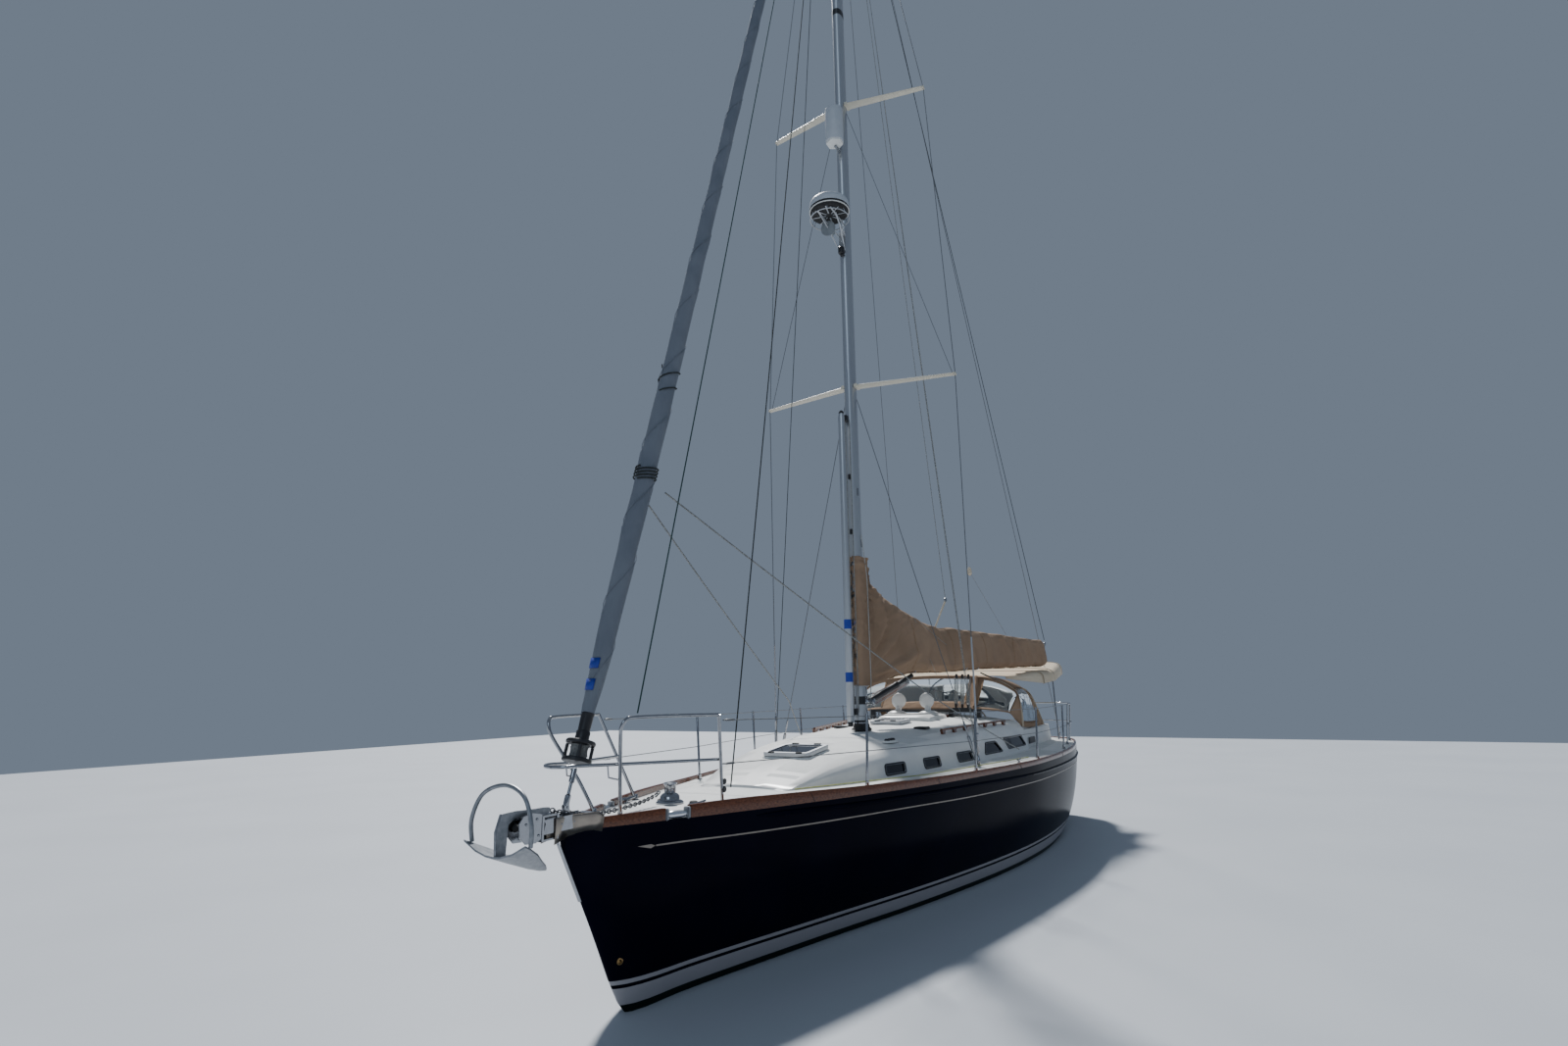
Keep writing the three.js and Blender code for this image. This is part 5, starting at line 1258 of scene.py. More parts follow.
BOOM_SCALES = [(0.012, 0.45), (0.05, 0.8), (0.8, 0.86), (2.6, 0.93), (5.15, 1.0), (BOOM_LENGTH, 0.97)]
boom_shape = solid([boom_ring(back, scale) for back, scale in BOOM_SCALES])
piece("boom_tube", boom_shape, "alloy", "boom", ["boom"])
tail = BOOM_LENGTH
end_cap = solid([boom_ring(tail - 0.05, 1.05), boom_ring(tail, 1.05), boom_ring(tail + 0.015, 0.9)])
bails = [tube(curve([boom_at(back, -0.06, BOOM_RISE * back), boom_at(back, -0.05, BOOM_RISE * back - 0.11),
                     boom_at(back, 0.05, BOOM_RISE * back - 0.11), boom_at(back, 0.06, BOOM_RISE * back)], 4),
              0.007, 8) for back in (1.06, 2.46, 2.8)]
eye = lathe([(0.018, -0.044), (0.018, 0.044)], GOOSENECK, sides=20)
fork_x, fork_z = GOOSENECK.x, GOOSENECK.z
toggle = [block(fork_x + 0.036, fork_x + 0.105, -0.03, 0.03, fork_z - 0.058, fork_z + 0.058)]
toggle += [block(fork_x - 0.01, fork_x + 0.045, -0.022, 0.022, z - 0.004, z + 0.004)
           for z in (fork_z - 0.053, fork_z + 0.053)]
piece("boom_fittings", gather(end_cap, eye, *bails), "steel", "boom")
piece("gooseneck_bracket", toggle, "steel", bevel=0.002)

vang_low, vang_high = boom_at(0.055, 0, 2.095 - GOOSENECK.z), boom_at(1.04, 0, 2.425 - GOOSENECK.z)


def vang_at(share, side=0.0, up=0.0):
    return vang_low.lerp(vang_high, share) + Vector((0, side, up))


VANG_COLLAR = [(0.037, 0), (0.039, 0.01), (0.039, 0.05), (0.035, 0.06)]
vang = [tube([vang_low, vang_at(0.62)], 0.036, 18), tube([vang_at(0.6), vang_high], 0.029, 16),
        lathe(VANG_COLLAR, vang_at(0.58), vang_high - vang_low, 18)]
piece("vang_tube", vang, "black", "boom", ["vang"])
TACKLE_DROP = -0.055
SHEAVE = [(0.024, -0.006), (0.028, 0), (0.024, 0.006)]
# Parts of the tackle: height over the drop, and side.
TACKLE = [(0, -0.022), (0.014, -0.008), (0, 0.01), (0.014, 0.024), (0.11, -0.015), (0.11, 0.015),
          (-0.03, 0.0), (-0.045, 0.012)]
blocks = [lathe(SHEAVE, vang_at(share, side, TACKLE_DROP), (0, 1, 0), 16)
          for share in (0.06, 0.88) for side in (-0.016, 0.016)]
ropes = [tube([vang_at(0.07, side, TACKLE_DROP + above), vang_at(0.9, side, TACKLE_DROP + above * 0.6)],
              0.0058, 6) for above, side in TACKLE]
piece("vang_blocks", blocks, "steel", "boom")
piece("vang_tackle", ropes[::2], "rope_red", "boom")
piece("vang_tackle_tails", ropes[1::2], "white_rope", "boom")

# Sail cover: one sheet laid round sail and boom and laced in front of the mast, with folds.
COVER_OUTLINE = [(0.1, 0.0), (0.62, 0.035), (0.96, 0.14), (1.0, 0.3), (0.97, 0.48), (0.86, 0.68),
                 (0.64, 0.86), (0.34, 0.965), (0.0, 1.0)]


def crease(turn, sharp=3.0):
    """Fold profile from 0 in its wide valley to 1 on its narrow ridge."""
    return (0.5 + 0.5 * math.cos(turn)) ** sharp


def wander(u, v, w, size):
    return size * noise.noise(Vector((u, v, w)))


def cover_folds(back, z, low, side):
    """How far folds push the cover out: gathers by the mast, a fan from the tack, pleats aft."""
    behind = max(back, 0)
    turn = side * 1.7
    gathers = crease(2 * math.pi * (z - 0.3 * behind) / 0.11 + wander(back * 4, z * 3, turn, 5))
    gathers *= 0.052 * math.exp(-behind / 0.55) * min(max((z - 2.7) / 0.35, 0.3), 1)
    reach = math.hypot(behind + 0.12, z - 2.3)
    angle = math.atan2(z - 2.3, behind + 0.12)
    fan = crease(15 * angle + wander(reach * 1.6, angle * 2, 5 + turn, 2.2))
    fan *= 0.085 * math.exp(-((reach - 0.8) / 0.5) ** 2) * min(behind / 0.15, 1)
    drift = turn + wander(back * 1.3, z * 2, 9 + turn, 2.6)
    hang = crease(2 * math.pi * (back + 0.22 * (z - low)) / 0.47 + drift, 4)
    hang *= 0.058 * min(max((back - 0.9) / 0.6, 0), 1)
    bunch = 0.04 * math.exp(-((back - 1.9 - (z - low) * 0.3) / 0.16) ** 2)
    soft = wander(back * 2.2, z * 2.6, 3 + turn, 0.026) + wander(back * 8, z * 8, 7 + turn, 0.007)
    return gathers + fan + hang + bunch + soft - 0.028


def cover_point(back, share, side):
    """Point of one half of the cover, from its lower edge at share 0 to its top at 1, as y and z."""
    low, high, half = (along(COVER, c, back) for c in (1, 2, 3))
    at = share * (len(COVER_OUTLINE) - 1)
    i = min(int(at), len(COVER_OUTLINE) - 2)
    t = at - i
    y = half * (COVER_OUTLINE[i][0] * (1 - t) + COVER_OUTLINE[i + 1][0] * t)
    z = low + (high - low) * (COVER_OUTLINE[i][1] * (1 - t) + COVER_OUTLINE[i + 1][1] * t)
    if back > 0.33:
        z += 0.014 * abs(math.sin(math.pi * (back - 0.33) / 0.46)) * (1 - share) ** 3
        z += wander(back * 2.6, 0, 11, 0.016) * share ** 4
    opened = min(max((0.05 - back) / 0.12, 0), 1)
    y += (half - y) * opened
    ease = min(share / 0.12, 1) * min((1 - share) / 0.1, 1) if opened < 1 else min(share / 0.05, 1)
    y = max(y + cover_folds(back, z, low, side) * ease, 0.0)
    return (max(y, 0.084) if -0.345 < back < -0.1 else y), z


def cover_place(back, y, z):
    """Place of a cover point: round the mast ahead of the gooseneck, along the boom behind it."""
    straight = Vector((GOOSENECK.x - back, y, z))
    swung = boom_at(back, y, z - GOOSENECK.z)
    return straight.lerp(swung, min(max((back + 0.1) / 0.35, 0), 1))


cover_backs = [-0.385 + 0.445 * (k / 22) ** 1.3 for k in range(22)]
cover_backs += [0.06 + 5.1 * k / 230 for k in range(231)]
COVER_SHARES = 46
halves = []
for side in (1, -1):
    rows = []
    for back in cover_backs:
        line = [cover_point(back, k / COVER_SHARES, side) for k in range(COVER_SHARES + 1)]
        rows.append([cover_place(back, side * y, z) for y, z in line])
    shape = skin(rows)
    halves.append(shape if side > 0 else (shape[0], [tuple(reversed(f)) for f in shape[1]]))
cover = piece("sail_cover_cloth", halves, "canvas", body=None, replaces=["sail_cover"],
              outward=False, angle=180, thick=0.002)
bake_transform(cover)

# Seams, lower hem and lacing of the cover.
def cover_run(backs, shares, side, out):
    """Line over the cover's surface through pairs of distance and share."""
    line = []
    for back, share in zip(backs, shares):
        y, z = cover_point(back, share, side)
        line.append(cover_place(back, side * (y + out), z))
    return line


seams = []
for side in (1, -1):
    for back in (0.95, 1.95, 2.95, 3.95):
        line = cover_run([back] * 41, [k / 40 for k in range(41)], side, 0.002)
        seams.append(strip(line, 0.02, 0.003, boom_at(0, 1) - boom_at(0)))
    hem_backs = [back for back in cover_backs if back > 0.45]
    seams.append(strip(cover_run(hem_backs, [0.02] * len(hem_backs), side, 0.002), 0.004, 0.03))
piece("cover_seams", seams, "seam", "boom")
laces = []
for k in range(21):
    back = 0.55 + 4.5 * k / 20
    low = along(COVER, 1, back)
    across = [cover_place(back, y, low + dz)
              for y, dz in ((0.05, 0.03), (0.03, -0.004), (-0.03, -0.004), (-0.05, 0.03))]
    laces.append(tube(across, 0.004, 6))
piece("cover_laces", laces, "rope_dark", "boom")
hooks = []
for k in range(14):
    z = 2.36 + 0.12 * k
    hooks.append(tube([(0.65, -0.03, z), (0.664, -0.012, z + 0.01), (0.664, 0.012, z + 0.03),
                       (0.65, 0.03, z + 0.04)], 0.004, 6))
piece("collar_lacing", hooks, "seam", slot="")

# Running rigging that stays with the boat: its material, size, body, the CAD node it stands for,
# the sag of each stretch as a share of its length, and its points.
MASTHEAD_FORE, MASTHEAD_AFT = Vector((0.74, 0, 18.3)), Vector((0.27, 0, 18.3))


def on_boom(back, z, side=0.0):
    return boom_at(back, side, z - GOOSENECK.z)


ROPES = [
    ("spare_halyard", "rope_green", 0.006, "yacht", None, 0.004,
     [MASTHEAD_FORE + Vector((0, 0.03, 0)), (5.50, 0.36, 2.08)]),
    ("pole_lift_line", "rope_dark", 0.006, "yacht", "pole_lift", 0.004,
     [(0.72, 0.075, 18.27), (4.48, 0.50, 1.48)]),
    ("staysail_halyard", "rope_dark", 0.005, "yacht", None, 0.002,
     [MASTHEAD_FORE + Vector((0, -0.03, -0.4)), (0.30, -1.37, 1.40)]),
    ("flag_halyard", "rope", 0.004, "yacht", None, 0.002,
     [MASTHEAD_AFT + Vector((0.05, 0.045, 0)), (0.12, 1.345, 1.42)]),
    ("spare_main_halyard", "rope", 0.005, "yacht", None, 0.002,
     [MASTHEAD_AFT + Vector((0.09, 0.05, 0)), (0.14, 1.365, 1.42)]),
    ("genoa_sheet_port", "rope", 0.007, "yacht", "genoa_sheets", 0.004,
     [(4.91, 0.118, 3.85), (0.55, 1.02, 2.10), (-1.10, 1.62, 1.42)]),
    ("genoa_sheet_starboard", "rope", 0.007, "yacht", "genoa_sheets", 0.004,
     [(4.91, -0.118, 3.85), (0.55, -1.02, 2.10), (-1.10, -1.62, 1.42)]),
    ("topping_lift", "rope_dark", 0.005, "boom", None, 0.002, [MASTHEAD_AFT, on_boom(5.325, 3.09)]),
    ("cover_lift", "rope", 0.005, "boom", None, 0.001,
     [MASTHEAD_AFT + Vector((0, 0.02, 0)), on_boom(2.038, 3.60)]),
    ("lazy_string_fore", "rope", 0.003, "boom", None, 0.02,
     [on_boom(1.05, 3.24, 0.08), on_boom(1.395, 2.43, 0.185)]),
    ("lazy_string_aft", "rope", 0.003, "boom", None, 0.02,
     [on_boom(1.164, 3.20, 0.09), on_boom(1.703, 2.865, 0.190)]),
    ("flag_line", "rope", 0.003, "boom", None, 0.003, [on_boom(2.825, 4.098), on_boom(3.90, 3.12)]),
    ("main_halyard", "white_rope", 0.006, "yacht", None, 0.004,
     [(0.500, 0.085, 4.269), (0.455, 0.122, 3.736), (0.450, 0.125, 3.651), (0.450, 0.130, 2.351),
      (0.460, 0.100, 1.843)]),
    ("dodger_line", "rope_dark", 0.012, "yacht", None, 0.01, [(-2.60, 0.80, 2.480), (-3.10, 1.24, 2.24)]),
    ("jackline_port", "webbing", 0.006, "yacht", None, 0.0,
     [(3.60, 0.62, 1.375), (1.60, 1.18, 1.33), (-1.20, 1.72, 1.315)]),
]
for name, mat, radius, body, node, drop, points in ROPES:
    path = [Vector(points[0])]
    for a, b in zip(points, points[1:]):
        path += sag(a, b, drop * (Vector(b) - Vector(a)).length, 14)[1:]
    piece(name, tube(path, radius, 6), mat, body, [node] if node else [], "rope_dark" if node else None)

# Blocks and straps on those lines.
lift_block = [lathe([(0.018, -0.012), (0.032, -0.008), (0.032, 0.008), (0.018, 0.012)], at, (0.3, 1, 0), 16)
              for at in (on_boom(2.038, 3.575), on_boom(5.325, 3.02))]
piece("lift_blocks", lift_block, "zinc", "boom")
piece("lift_strap", strip([on_boom(1.649, 3.11, 0.03), on_boom(1.85, 3.36, 0.02), on_boom(2.038, 3.56)],
                          0.034, 0.004, boom_at(0, 1) - boom_at(0)), "canvas_light", "boom")
piece("lift_pendant", tube([on_boom(5.325, 3.0), on_boom(5.215, 2.76)], 0.005, 6), "wire", "boom", slot="")
piece("flag_block", lathe([(0.01, 0), (0.034, 0.03), (0.034, 0.09), (0.016, 0.14)], on_boom(2.825, 4.03)),
      "canvas_light", "boom", slot="")

# Mainsheet tackle between the traveller's car and the boom, fixed in place on no body.
SHEET_SHEAVE = [(0.022, -0.016), (0.036, -0.01), (0.036, 0.01), (0.022, 0.016)]
SHEET_FEET = [(-2.095, 0.51, 1.955), (-2.095, 0.61, 1.95), (-2.095, 0.7, 1.945)]
parts, sheaves = [], []
for foot, back in zip(SHEET_FEET, (2.23, 2.4, 2.58)):
    low, head = Vector(foot) + Vector((0, 0, 0.03)), on_boom(back, 2.42)
    for shift in (-0.024, -0.008, 0.01, 0.026):
        ends = low + Vector((shift, shift, 0.02)), head + Vector((-shift, shift, -0.02))
        parts.append(tube(sag(*ends, 0, 12), 0.0058, 6))
    for at in (low, head):
        sheaves.append(lathe(SHEET_SHEAVE, at, (0, 1, 0), 16))
for name, shapes, mat in (("mainsheet_parts", parts, "rope"), ("mainsheet_blocks", sheaves, "black")):
    tackle = piece(name, shapes, mat, body=None, slot="")
    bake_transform(tackle)


# Dodger and bimini: cloth over bent steel bows, with clear panels sewn in. Half a bow's line is
# given as shares of its half width and height. Rows: foot, shoulder and crown along the boat,
# half width, lower edge and crown height.
DODGER_LINE = [(1, 0), (0.985, 0.58), (0.9, 0.76), (0.727, 0.91), (0.5, 0.97), (0, 1)]
DODGER = [
    (-4.400, -3.600, -3.450, 1.385, 1.612, 2.440),
    (-3.300, -3.050, -3.000, 1.385, 1.612, 2.465),
    (-2.760, -2.725, -2.700, 1.360, 1.640, 2.445),
    (-2.700, -2.430, -2.200, 1.270, 1.748, 1.926),
]
BIMINI_LINE = [(1, 0), (0.985, 0.62), (0.88, 0.9), (0.5, 0.975), (0, 1)]
BIMINI = [
    (-5.600, -5.600, -5.600, 1.600, 2.480, 2.740),
    (-4.850, -4.850, -4.850, 1.580, 2.360, 2.600),
    (-4.100, -4.100, -4.100, 1.520, 2.310, 2.545),
    (-3.500, -3.500, -3.500, 1.000, 2.390, 2.450),
]
CLOTH_STEPS = 8


def canopy_line(shares, rows, at, inset=0.0):
    """Smooth line over a canopy from port to starboard, at a row number that may be a fraction."""
    i = min(int(at), len(rows) - 2)
    foot, side, crown, half, low, top = (a + (b - a) * (at - i) for a, b in zip(rows[i], rows[i + 1]))
    shoulder = shares[1][1]
    port = []
    for wide, high in shares:
        x = side + (crown - side) * (high - shoulder) / (1 - shoulder) if high > 0 else foot
        port.append(Vector((x, wide * (half - inset), low + (top - inset - low) * high)))
    return curve(port + [Vector((p.x, -p.y, p.z)) for p in port[-2::-1]], CLOTH_STEPS)


def canopy_rows(shares, rows, slack, steps):
    """Rows of a canopy's cloth, drawn in a little between the bows and lightly puckered."""
    cloth = []
    for k in range(steps * (len(rows) - 1) + 1):
        at = k / steps
        line = canopy_line(shares, rows, at)
        between = math.sin(math.pi * (at % 1))
        row = []
        for n, p in enumerate(line):
            over = math.sin(math.pi * n / (len(line) - 1))
            pucker = noise.noise(Vector((p.x * 3.2, p.y * 2.4, p.z * 3.0))) * 0.016
            row.append(p + Vector((0, 0, (pucker - slack) * between * over)))
        cloth.append(row)
    return cloth


def in_ranges(at, share, ranges):
    return any(a < at < b and c < share < d for a, b, c, d in ranges)


def cut_canopy(cloth, steps, ranges):
    """Cloth and clear panels of a canopy. A range holds rows from and to, line shares from and to."""
    verts, faces = skin(cloth)
    across = len(cloth[0]) - 1
    parts = ([], [])
    for k, face in enumerate(faces):
        at = (k // across + 0.5) / steps
        share = (min(k % across, across - 1 - k % across) + 0.5) / CLOTH_STEPS
        parts[in_ranges(at, share, ranges)].append(face)
    return [used_only((verts, part)) for part in parts]


def used_only(shape):
    """The shape without the points that no face uses."""
    verts, faces = shape
    used = sorted({i for face in faces for i in face})
    place = {old: new for new, old in enumerate(used)}
    return [verts[i] for i in used], [tuple(place[i] for i in face) for face in faces]


DODGER_PANES = [
    (2.10, 2.74, 4.12, 5.00),
    (2.10, 2.90, 1.12, 3.62),
    (0.30, 1.86, 0.24, 1.88),
]
cloth, clear = cut_canopy(canopy_rows(DODGER_LINE, DODGER, 0.014, 24), 24, DODGER_PANES)
dodger = piece("dodger_cloth", cloth, "canvas", replaces=["dodger_cover"], outward=False, angle=180,
               thick=0.002)
piece("dodger_windows", clear, "clear", outward=False, angle=180)
bimini_shape = skin(canopy_rows(BIMINI_LINE, BIMINI, 0.012, 20))
bimini = piece("bimini_cloth", bimini_shape, "canvas_light", replaces=["bimini_cover"], outward=False,
               angle=180, thick=0.002)


def bow_tube(shares, rows, at, feet_x, feet_z):
    """Bent tube that carries the cloth at a row, with its legs down to their feet."""
    over = canopy_line(shares, rows, at, 0.022)[CLOTH_STEPS:-CLOTH_STEPS]
    y = rows[round(at)][3] - 0.022
    return tube([(feet_x, y, feet_z)] + over + [(feet_x, -y, feet_z)], 0.0125, 10)


dodger_bows = [bow_tube(DODGER_LINE, DODGER, at, x, 1.604) for at, x in ((0, -3.64), (1, -3.34), (2, -2.85))]
bimini_bows = [bow_tube(BIMINI_LINE, BIMINI, at, x, z)
               for at, x, z in ((1, -4.85, 1.34), (0, -5.5, 2.46), (2, -4.16, 2.3))]
piece("dodger_bows", dodger_bows, "steel", replaces=["dodger_frame"])
piece("bimini_bows", bimini_bows, "steel", replaces=["bimini_frame"])
hems = []
for shares, rows, bows in ((DODGER_LINE, DODGER, (0, 2)), (BIMINI_LINE, BIMINI, (0, 1, 2))):
    for at in bows:
        line = [p + Vector((0, 0, 0.003)) for p in canopy_line(shares, rows, at, -0.003)]
        hems.append(strip(line, 0.045, 0.003))
piece("canopy_hems", hems, "canvas_light")
seams = []
for rows_from, rows_to, low, high in DODGER_PANES:
    for side in (0, 1):
        for share in (low, high):
            run = []
            for k in range(13):
                line = canopy_line(DODGER_LINE, DODGER, rows_from + (rows_to - rows_from) * k / 12, -0.003)
                place = min(share, 4.999) * CLOTH_STEPS
                place = len(line) - 1 - place if side else place
                i = min(int(place), len(line) - 2)
                run.append(line[i].lerp(line[i + 1], place - i))
            if share < 4.99:
                seams.append(strip(run, 0.028, 0.003))
piece("dodger_seams", seams, "seam")
roll = []
for k in range(15):
    t = k / 14
    roll.append((-2.69 + 0.43 * t, 0.7 + 0.05 * t + 0.008 * math.sin(9 * t), 2.425 - 0.47 * t))
piece("window_flap_roll", tube(roll, [0.024 + 0.01 * abs(math.sin(k * 1.1)) for k in range(15)], 12),
      "canvas")

# Cockpit moulding: coamings, seats with teak slats and foot well.
coaming = prism([(-COCKPIT_HALF, SEAT - 0.04), (COCKPIT_HALF, SEAT - 0.04), (COCKPIT_HALF, 1.36),
                 (COCKPIT_HALF - 0.03, COAMING), (-COCKPIT_HALF + 0.03, COAMING), (-COCKPIT_HALF, 1.36)],
                "x", COCKPIT_AFT, COCKPIT_FORE)
well = block(COCKPIT_AFT + 0.06, COCKPIT_FORE - 0.01, -WELL - 0.04, WELL + 0.04, SOLE - 0.04, SEAT)
seat_space = prism([(-1.18, SEAT), (1.18, SEAT), (1.2, 1.35), (1.23, 1.7), (-1.23, 1.7), (-1.2, 1.35)],
                   "x", COCKPIT_AFT + 0.26, COCKPIT_FORE + 0.01)
well_space = block(COCKPIT_AFT + 0.1, COCKPIT_FORE - 0.05, -WELL, WELL, SOLE, 2.4)
walk_through = block(COCKPIT_AFT - 0.01, COCKPIT_AFT + 0.27, -0.3, 0.3, 1.22, 2.4)
moulding = piece("cockpit_moulding", coaming, "deck", replaces=["cockpit"])
well_part = piece("cockpit_well", well, "deck")
carve(moulding, 0, [seat_space, well_space, walk_through])
carve(well_part, 0, [well_space])
soften = moulding.modifiers.new("edges", "BEVEL")
soften.width = 0.022
soften.segments = 3
slats = [block(-4.7, -2.8, 0.46 + 0.078 * k, 0.526 + 0.078 * k, SEAT + 0.001, SEAT + 0.012) for k in range(9)]
piece("seat_slats", both(*slats), "teak", bevel=0.003)
grate = [block(-4.85, -2.85, -0.34 + 0.085 * k, -0.285 + 0.085 * k, SOLE + 0.001, SOLE + 0.02)
         for k in range(9)]
grate += [block(x, x + 0.04, -0.34, 0.395, SOLE + 0.001, SOLE + 0.014) for x in (-4.83, -4.2, -3.5, -2.9)]
piece("sole_grate", grate, "teak", bevel=0.002)
BIG_WINCH = [(0.085, 0), (0.085, 0.014), (0.062, 0.03), (0.052, 0.05), (0.05, 0.1), (0.066, 0.122),
             (0.078, 0.132), (0.078, 0.146), (0.036, 0.15), (0.03, 0.142)]
for side, y in (("port", 1.266), ("starboard", -1.266)):
    seat = (-3.90, y, COAMING)
    barrel = lathe(BIG_WINCH, seat, sides=32)
    ribs = [tube([about(seat, 0.051, a, z) for z in (0.052, 0.098)], 0.003, 6) for a in turns(16)]
    piece(f"winch_drum_{side}", gather(barrel, *ribs), "steel", replaces=[f"winch_{side}"])

# Steering: pedestal with compass and guard, and the wheel.
PEDESTAL_X = -4.33
pedestal = [lathe([(0.098, 0), (0.098, 0.03), (0.078, 0.06), (0.07, 0.6), (0.082, 0.74), (0.088, 0.86)],
                  (PEDESTAL_X, 0, SOLE + 0.001), sides=28),
            lathe([(0.05, 0), (0.052, 0.06), (0.05, 0.12)], (-4.4, 0, 1.52), (1, 0, 0), 24),
            lathe([(0.075, 0), (0.08, 0.02), (0.08, 0.09), (0.06, 0.14)], (PEDESTAL_X, 0, 1.5), sides=28)]
piece("pedestal_column", pedestal, "white", replaces=["pedestal"])
compass = lathe([(0.062, 0), (0.064, 0.02), (0.055, 0.05), (0.032, 0.068), (0.005, 0.072)],
                (PEDESTAL_X, 0, 1.6), sides=28)
piece("compass", compass, "tint")
guard = tube(curve([(-4.2, 0.16, SOLE), (-4.2, 0.16, 1.55), (-4.2, 0.1, 1.66), (-4.2, -0.1, 1.66),
                    (-4.2, -0.16, 1.55), (-4.2, -0.16, SOLE)], 8), 0.0125, 10)
piece("pedestal_guard", guard, "steel")


def wheel_at(radius, angle):
    return (WHEEL.x, radius * math.cos(angle), WHEEL.z + radius * math.sin(angle))


rim = [wheel_at(0.44, a) for a in turns(64)]
wheel = [tube(rim + rim[:1], 0.014, 10),
         lathe([(0.03, -0.025), (0.036, -0.01), (0.036, 0.02), (0.028, 0.03)], WHEEL, (1, 0, 0), 20)]
wheel += [tube([wheel_at(0.02, a), wheel_at(0.435, a)], [0.01, 0.007], 10) for a in turns(5, math.pi / 2)]
piece("wheel_rim", wheel, "steel", "steering_wheel", ["steering_wheel"])

# Gear on the coachroof: grab rails, cowl vents, traveller and its car.
def grab_y(x):
    return 0.905 - 0.165 * x


for side, change in SIDES:
    points = [(x, grab_y(x), roof_top(x, grab_y(x)) + 0.052)
              for x in (-2.05 + 2.09 * k / 44 for k in range(45))]
    shapes = [strip(points, 0.034, 0.026)]
    for k in range(7):
        x = -2.0 + 0.332 * k
        y, top = grab_y(x), roof_top(x, grab_y(x))
        shapes.append(prism([(x - 0.095, top + 0.048), (x - 0.055, top + 0.022), (x - 0.045, top - 0.014),
                             (x + 0.045, top - 0.014), (x + 0.055, top + 0.022), (x + 0.095, top + 0.048)],
                            "y", y - 0.017, y + 0.017))
    piece(f"grab_rail_teak_{side}", change(gather(*shapes)), "teak",
          replaces=[f"grab_rail_{side}"], bevel=0.004)
    foot_z = slide_z + 0.05
    dorade = lathe([(0.15, 0), (0.152, 0.012), (0.135, 0.035), (0.09, 0.058), (0.06, 0.062)],
                   (-1.52, 0.245, foot_z - 0.008), sides=32)
    neck = tube(curve([(-1.54, 0.235, foot_z + 0.04), (-1.57, 0.228, foot_z + 0.11), (-1.605, 0.222, 2.03),
                       (-1.6, 0.221, 2.066), (-1.565, 0.221, 2.068)], 6),
                [0.046] * 15 + [0.048, 0.05, 0.053, 0.056, 0.06, 0.066, 0.073, 0.081, 0.089, 0.097], 24)
    disc = lathe([(0.094, -0.012), (0.11, 0), (0.114, 0.01), (0.108, 0.02), (0.06, 0.028),
                  (0.01, 0.03)], (-1.56, 0.221, 2.067), (1, 0, 0.06), 32)
    piece(f"cowl_{side}", change(gather(neck, disc, dorade)), "white",
          replaces=[f"cowl_vent_{side}"], angle=50)
track = [block(-2.112, -2.078, -0.9, 0.9, 1.884, 1.926)]
track += [block(-2.135, -2.055, y - 0.03, y + 0.03, 1.8, 1.89) for y in (-0.86, -0.43, 0.43, 0.86)]
car = block(-2.132, -2.058, 0.46, 0.74, 1.922, 1.95)
piece("traveller_track", gather(*track, car), "black", replaces=["traveller"], bevel=0.004)
base_x, base_y = 1.25, 0.65
deck_vent = Matrix.Translation((base_x, base_y, roof_top(base_x, base_y) - 0.004))
oval = [[(0.17 * grow * math.cos(a), 0.085 * grow * math.sin(a), z) for a in turns(28)]
        for grow, z in ((1.0, 0), (0.98, 0.014), (0.9, 0.022))]
piece("deck_vent_base", placed(solid(oval), deck_vent), "white", angle=50)
caps = [lathe([(0.03, 0.018), (0.034, 0.03), (0.02, 0.044)], (u, 0, 0), sides=16) for u in (-0.09, 0, 0.09)]
piece("deck_vent_caps", placed(gather(*caps), deck_vent), "black")
lead_z = roof_top(-0.17, 0.6)
piece("halyard_leads", both(block(-0.27, -0.07, 0.49, 0.66, lead_z, lead_z + 0.03)), "black", bevel=0.008)
ports = []
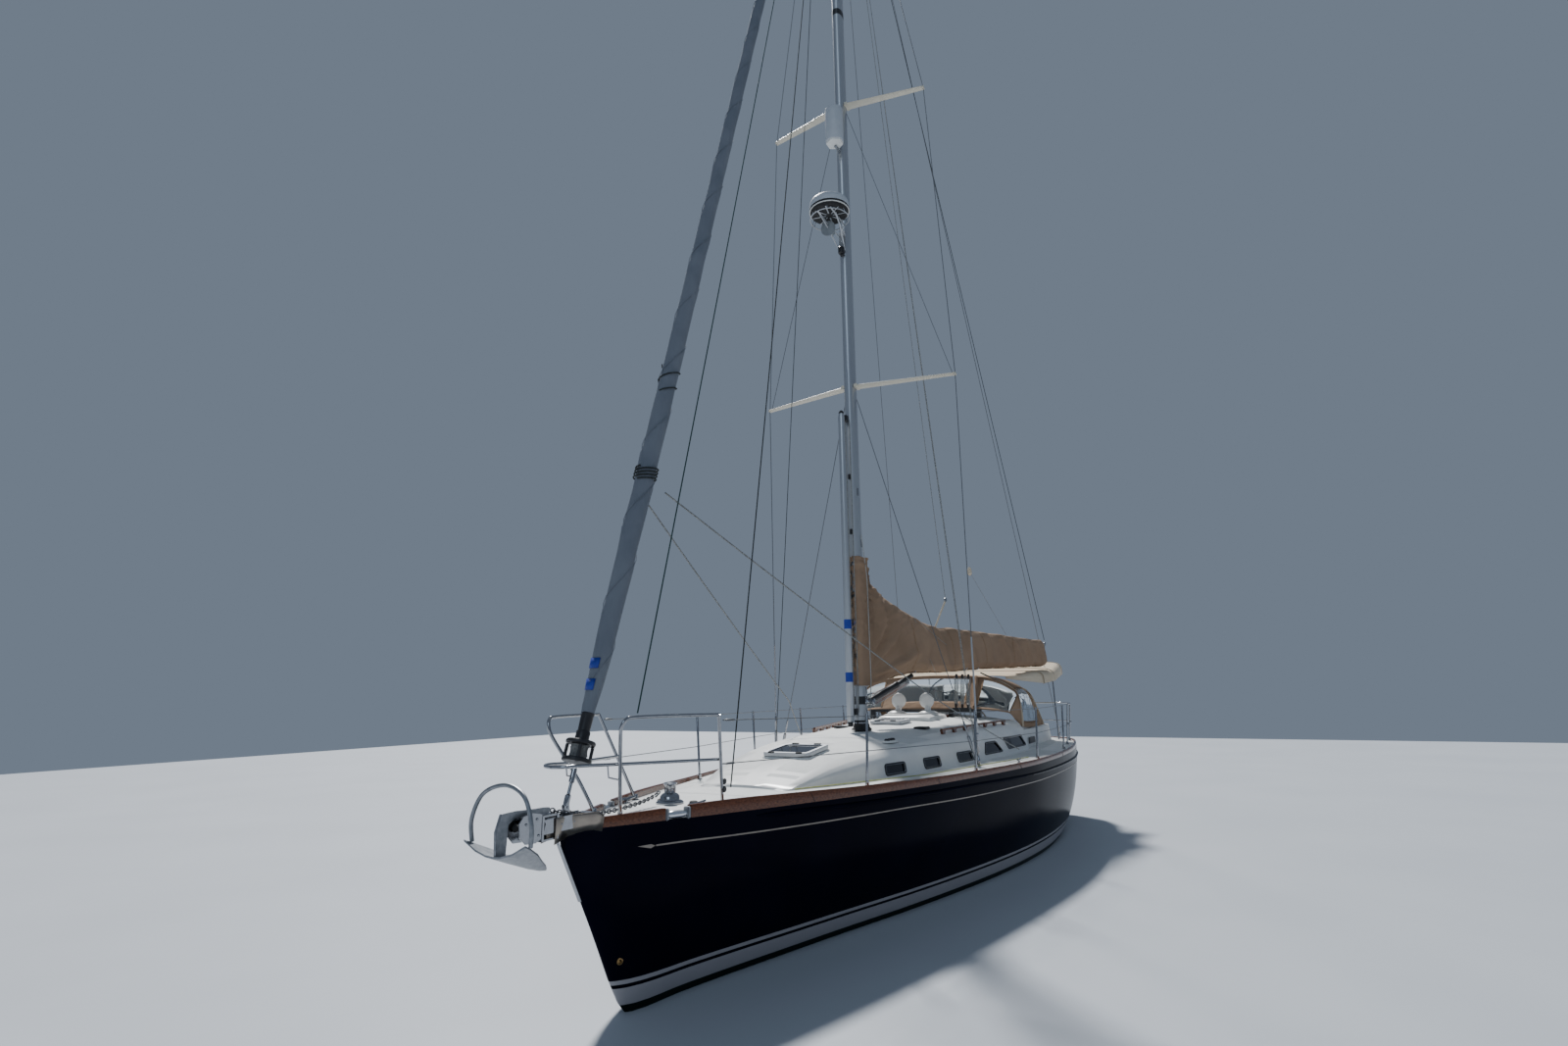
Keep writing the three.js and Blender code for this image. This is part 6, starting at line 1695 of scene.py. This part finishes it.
for y in (COCKPIT_HALF + 0.001, -COCKPIT_HALF - 0.001):
    ports.append(prism(softened([(-3.45, 1.375), (-2.95, 1.375), (-2.98, 1.47), (-3.42, 1.47)], 0.03), "y",
                       y, y + math.copysign(0.012, y)))
piece("coaming_windows", ports, "black", bevel=0.003)

dress("engine_block", "engine")

# Stage: floor at the waterline, soft sky, sun and camera.
floor = piece("floor", ([(-30, -30, 0), (30, -30, 0), (30, 30, 0), (-30, 30, 0)], [(0, 1, 2, 3)]), "floor",
              body=None, outward=False)

world = bpy.data.worlds.new("soft_sky")
bpy.context.scene.world = world
world.use_nodes = True
world.node_tree.nodes["Background"].inputs["Color"].default_value = (0.62, 0.77, 1.0, 1)
world.node_tree.nodes["Background"].inputs["Strength"].default_value = 0.26

for name, energy, angle, way, color in (("sun", 5.2, 6, SUN_WAY, (1, 1, 1)),
                                        ("soft_fill", 0.34, 25, FILL_WAY, (0.66, 0.82, 1.0))):
    light_data = bpy.data.lights.new(name, "SUN")
    light_data.energy = energy
    light_data.angle = math.radians(angle)
    light_data.color = color
    light = bpy.data.objects.new(name, light_data)
    light.rotation_euler = way.to_track_quat("-Z", "Y").to_euler()
    bpy.context.scene.collection.objects.link(light)

yaw, pitch, roll = (math.radians(a) for a in (CAMERA_YAW, CAMERA_PITCH, CAMERA_ROLL))
ahead = Vector((math.cos(yaw) * math.cos(pitch), math.sin(yaw) * math.cos(pitch), math.sin(pitch)))
level = Vector((math.sin(yaw), -math.cos(yaw), 0))
above = level.cross(ahead)
right = level * math.cos(roll) + above * math.sin(roll)
up = above * math.cos(roll) - level * math.sin(roll)
camera_data = bpy.data.cameras.new("camera")
camera_data.sensor_width = 36
camera_data.lens = CAMERA_FOCUS_PX / PICTURE_WIDTH_PX * camera_data.sensor_width
camera_data.clip_end = 200
camera = bpy.data.objects.new("camera", camera_data)
camera.matrix_world = (Matrix.Translation(CAMERA_AT) @ Matrix((right, up, -ahead)).transposed().to_4x4())
bpy.context.scene.collection.objects.link(camera)
bpy.context.scene.camera = camera
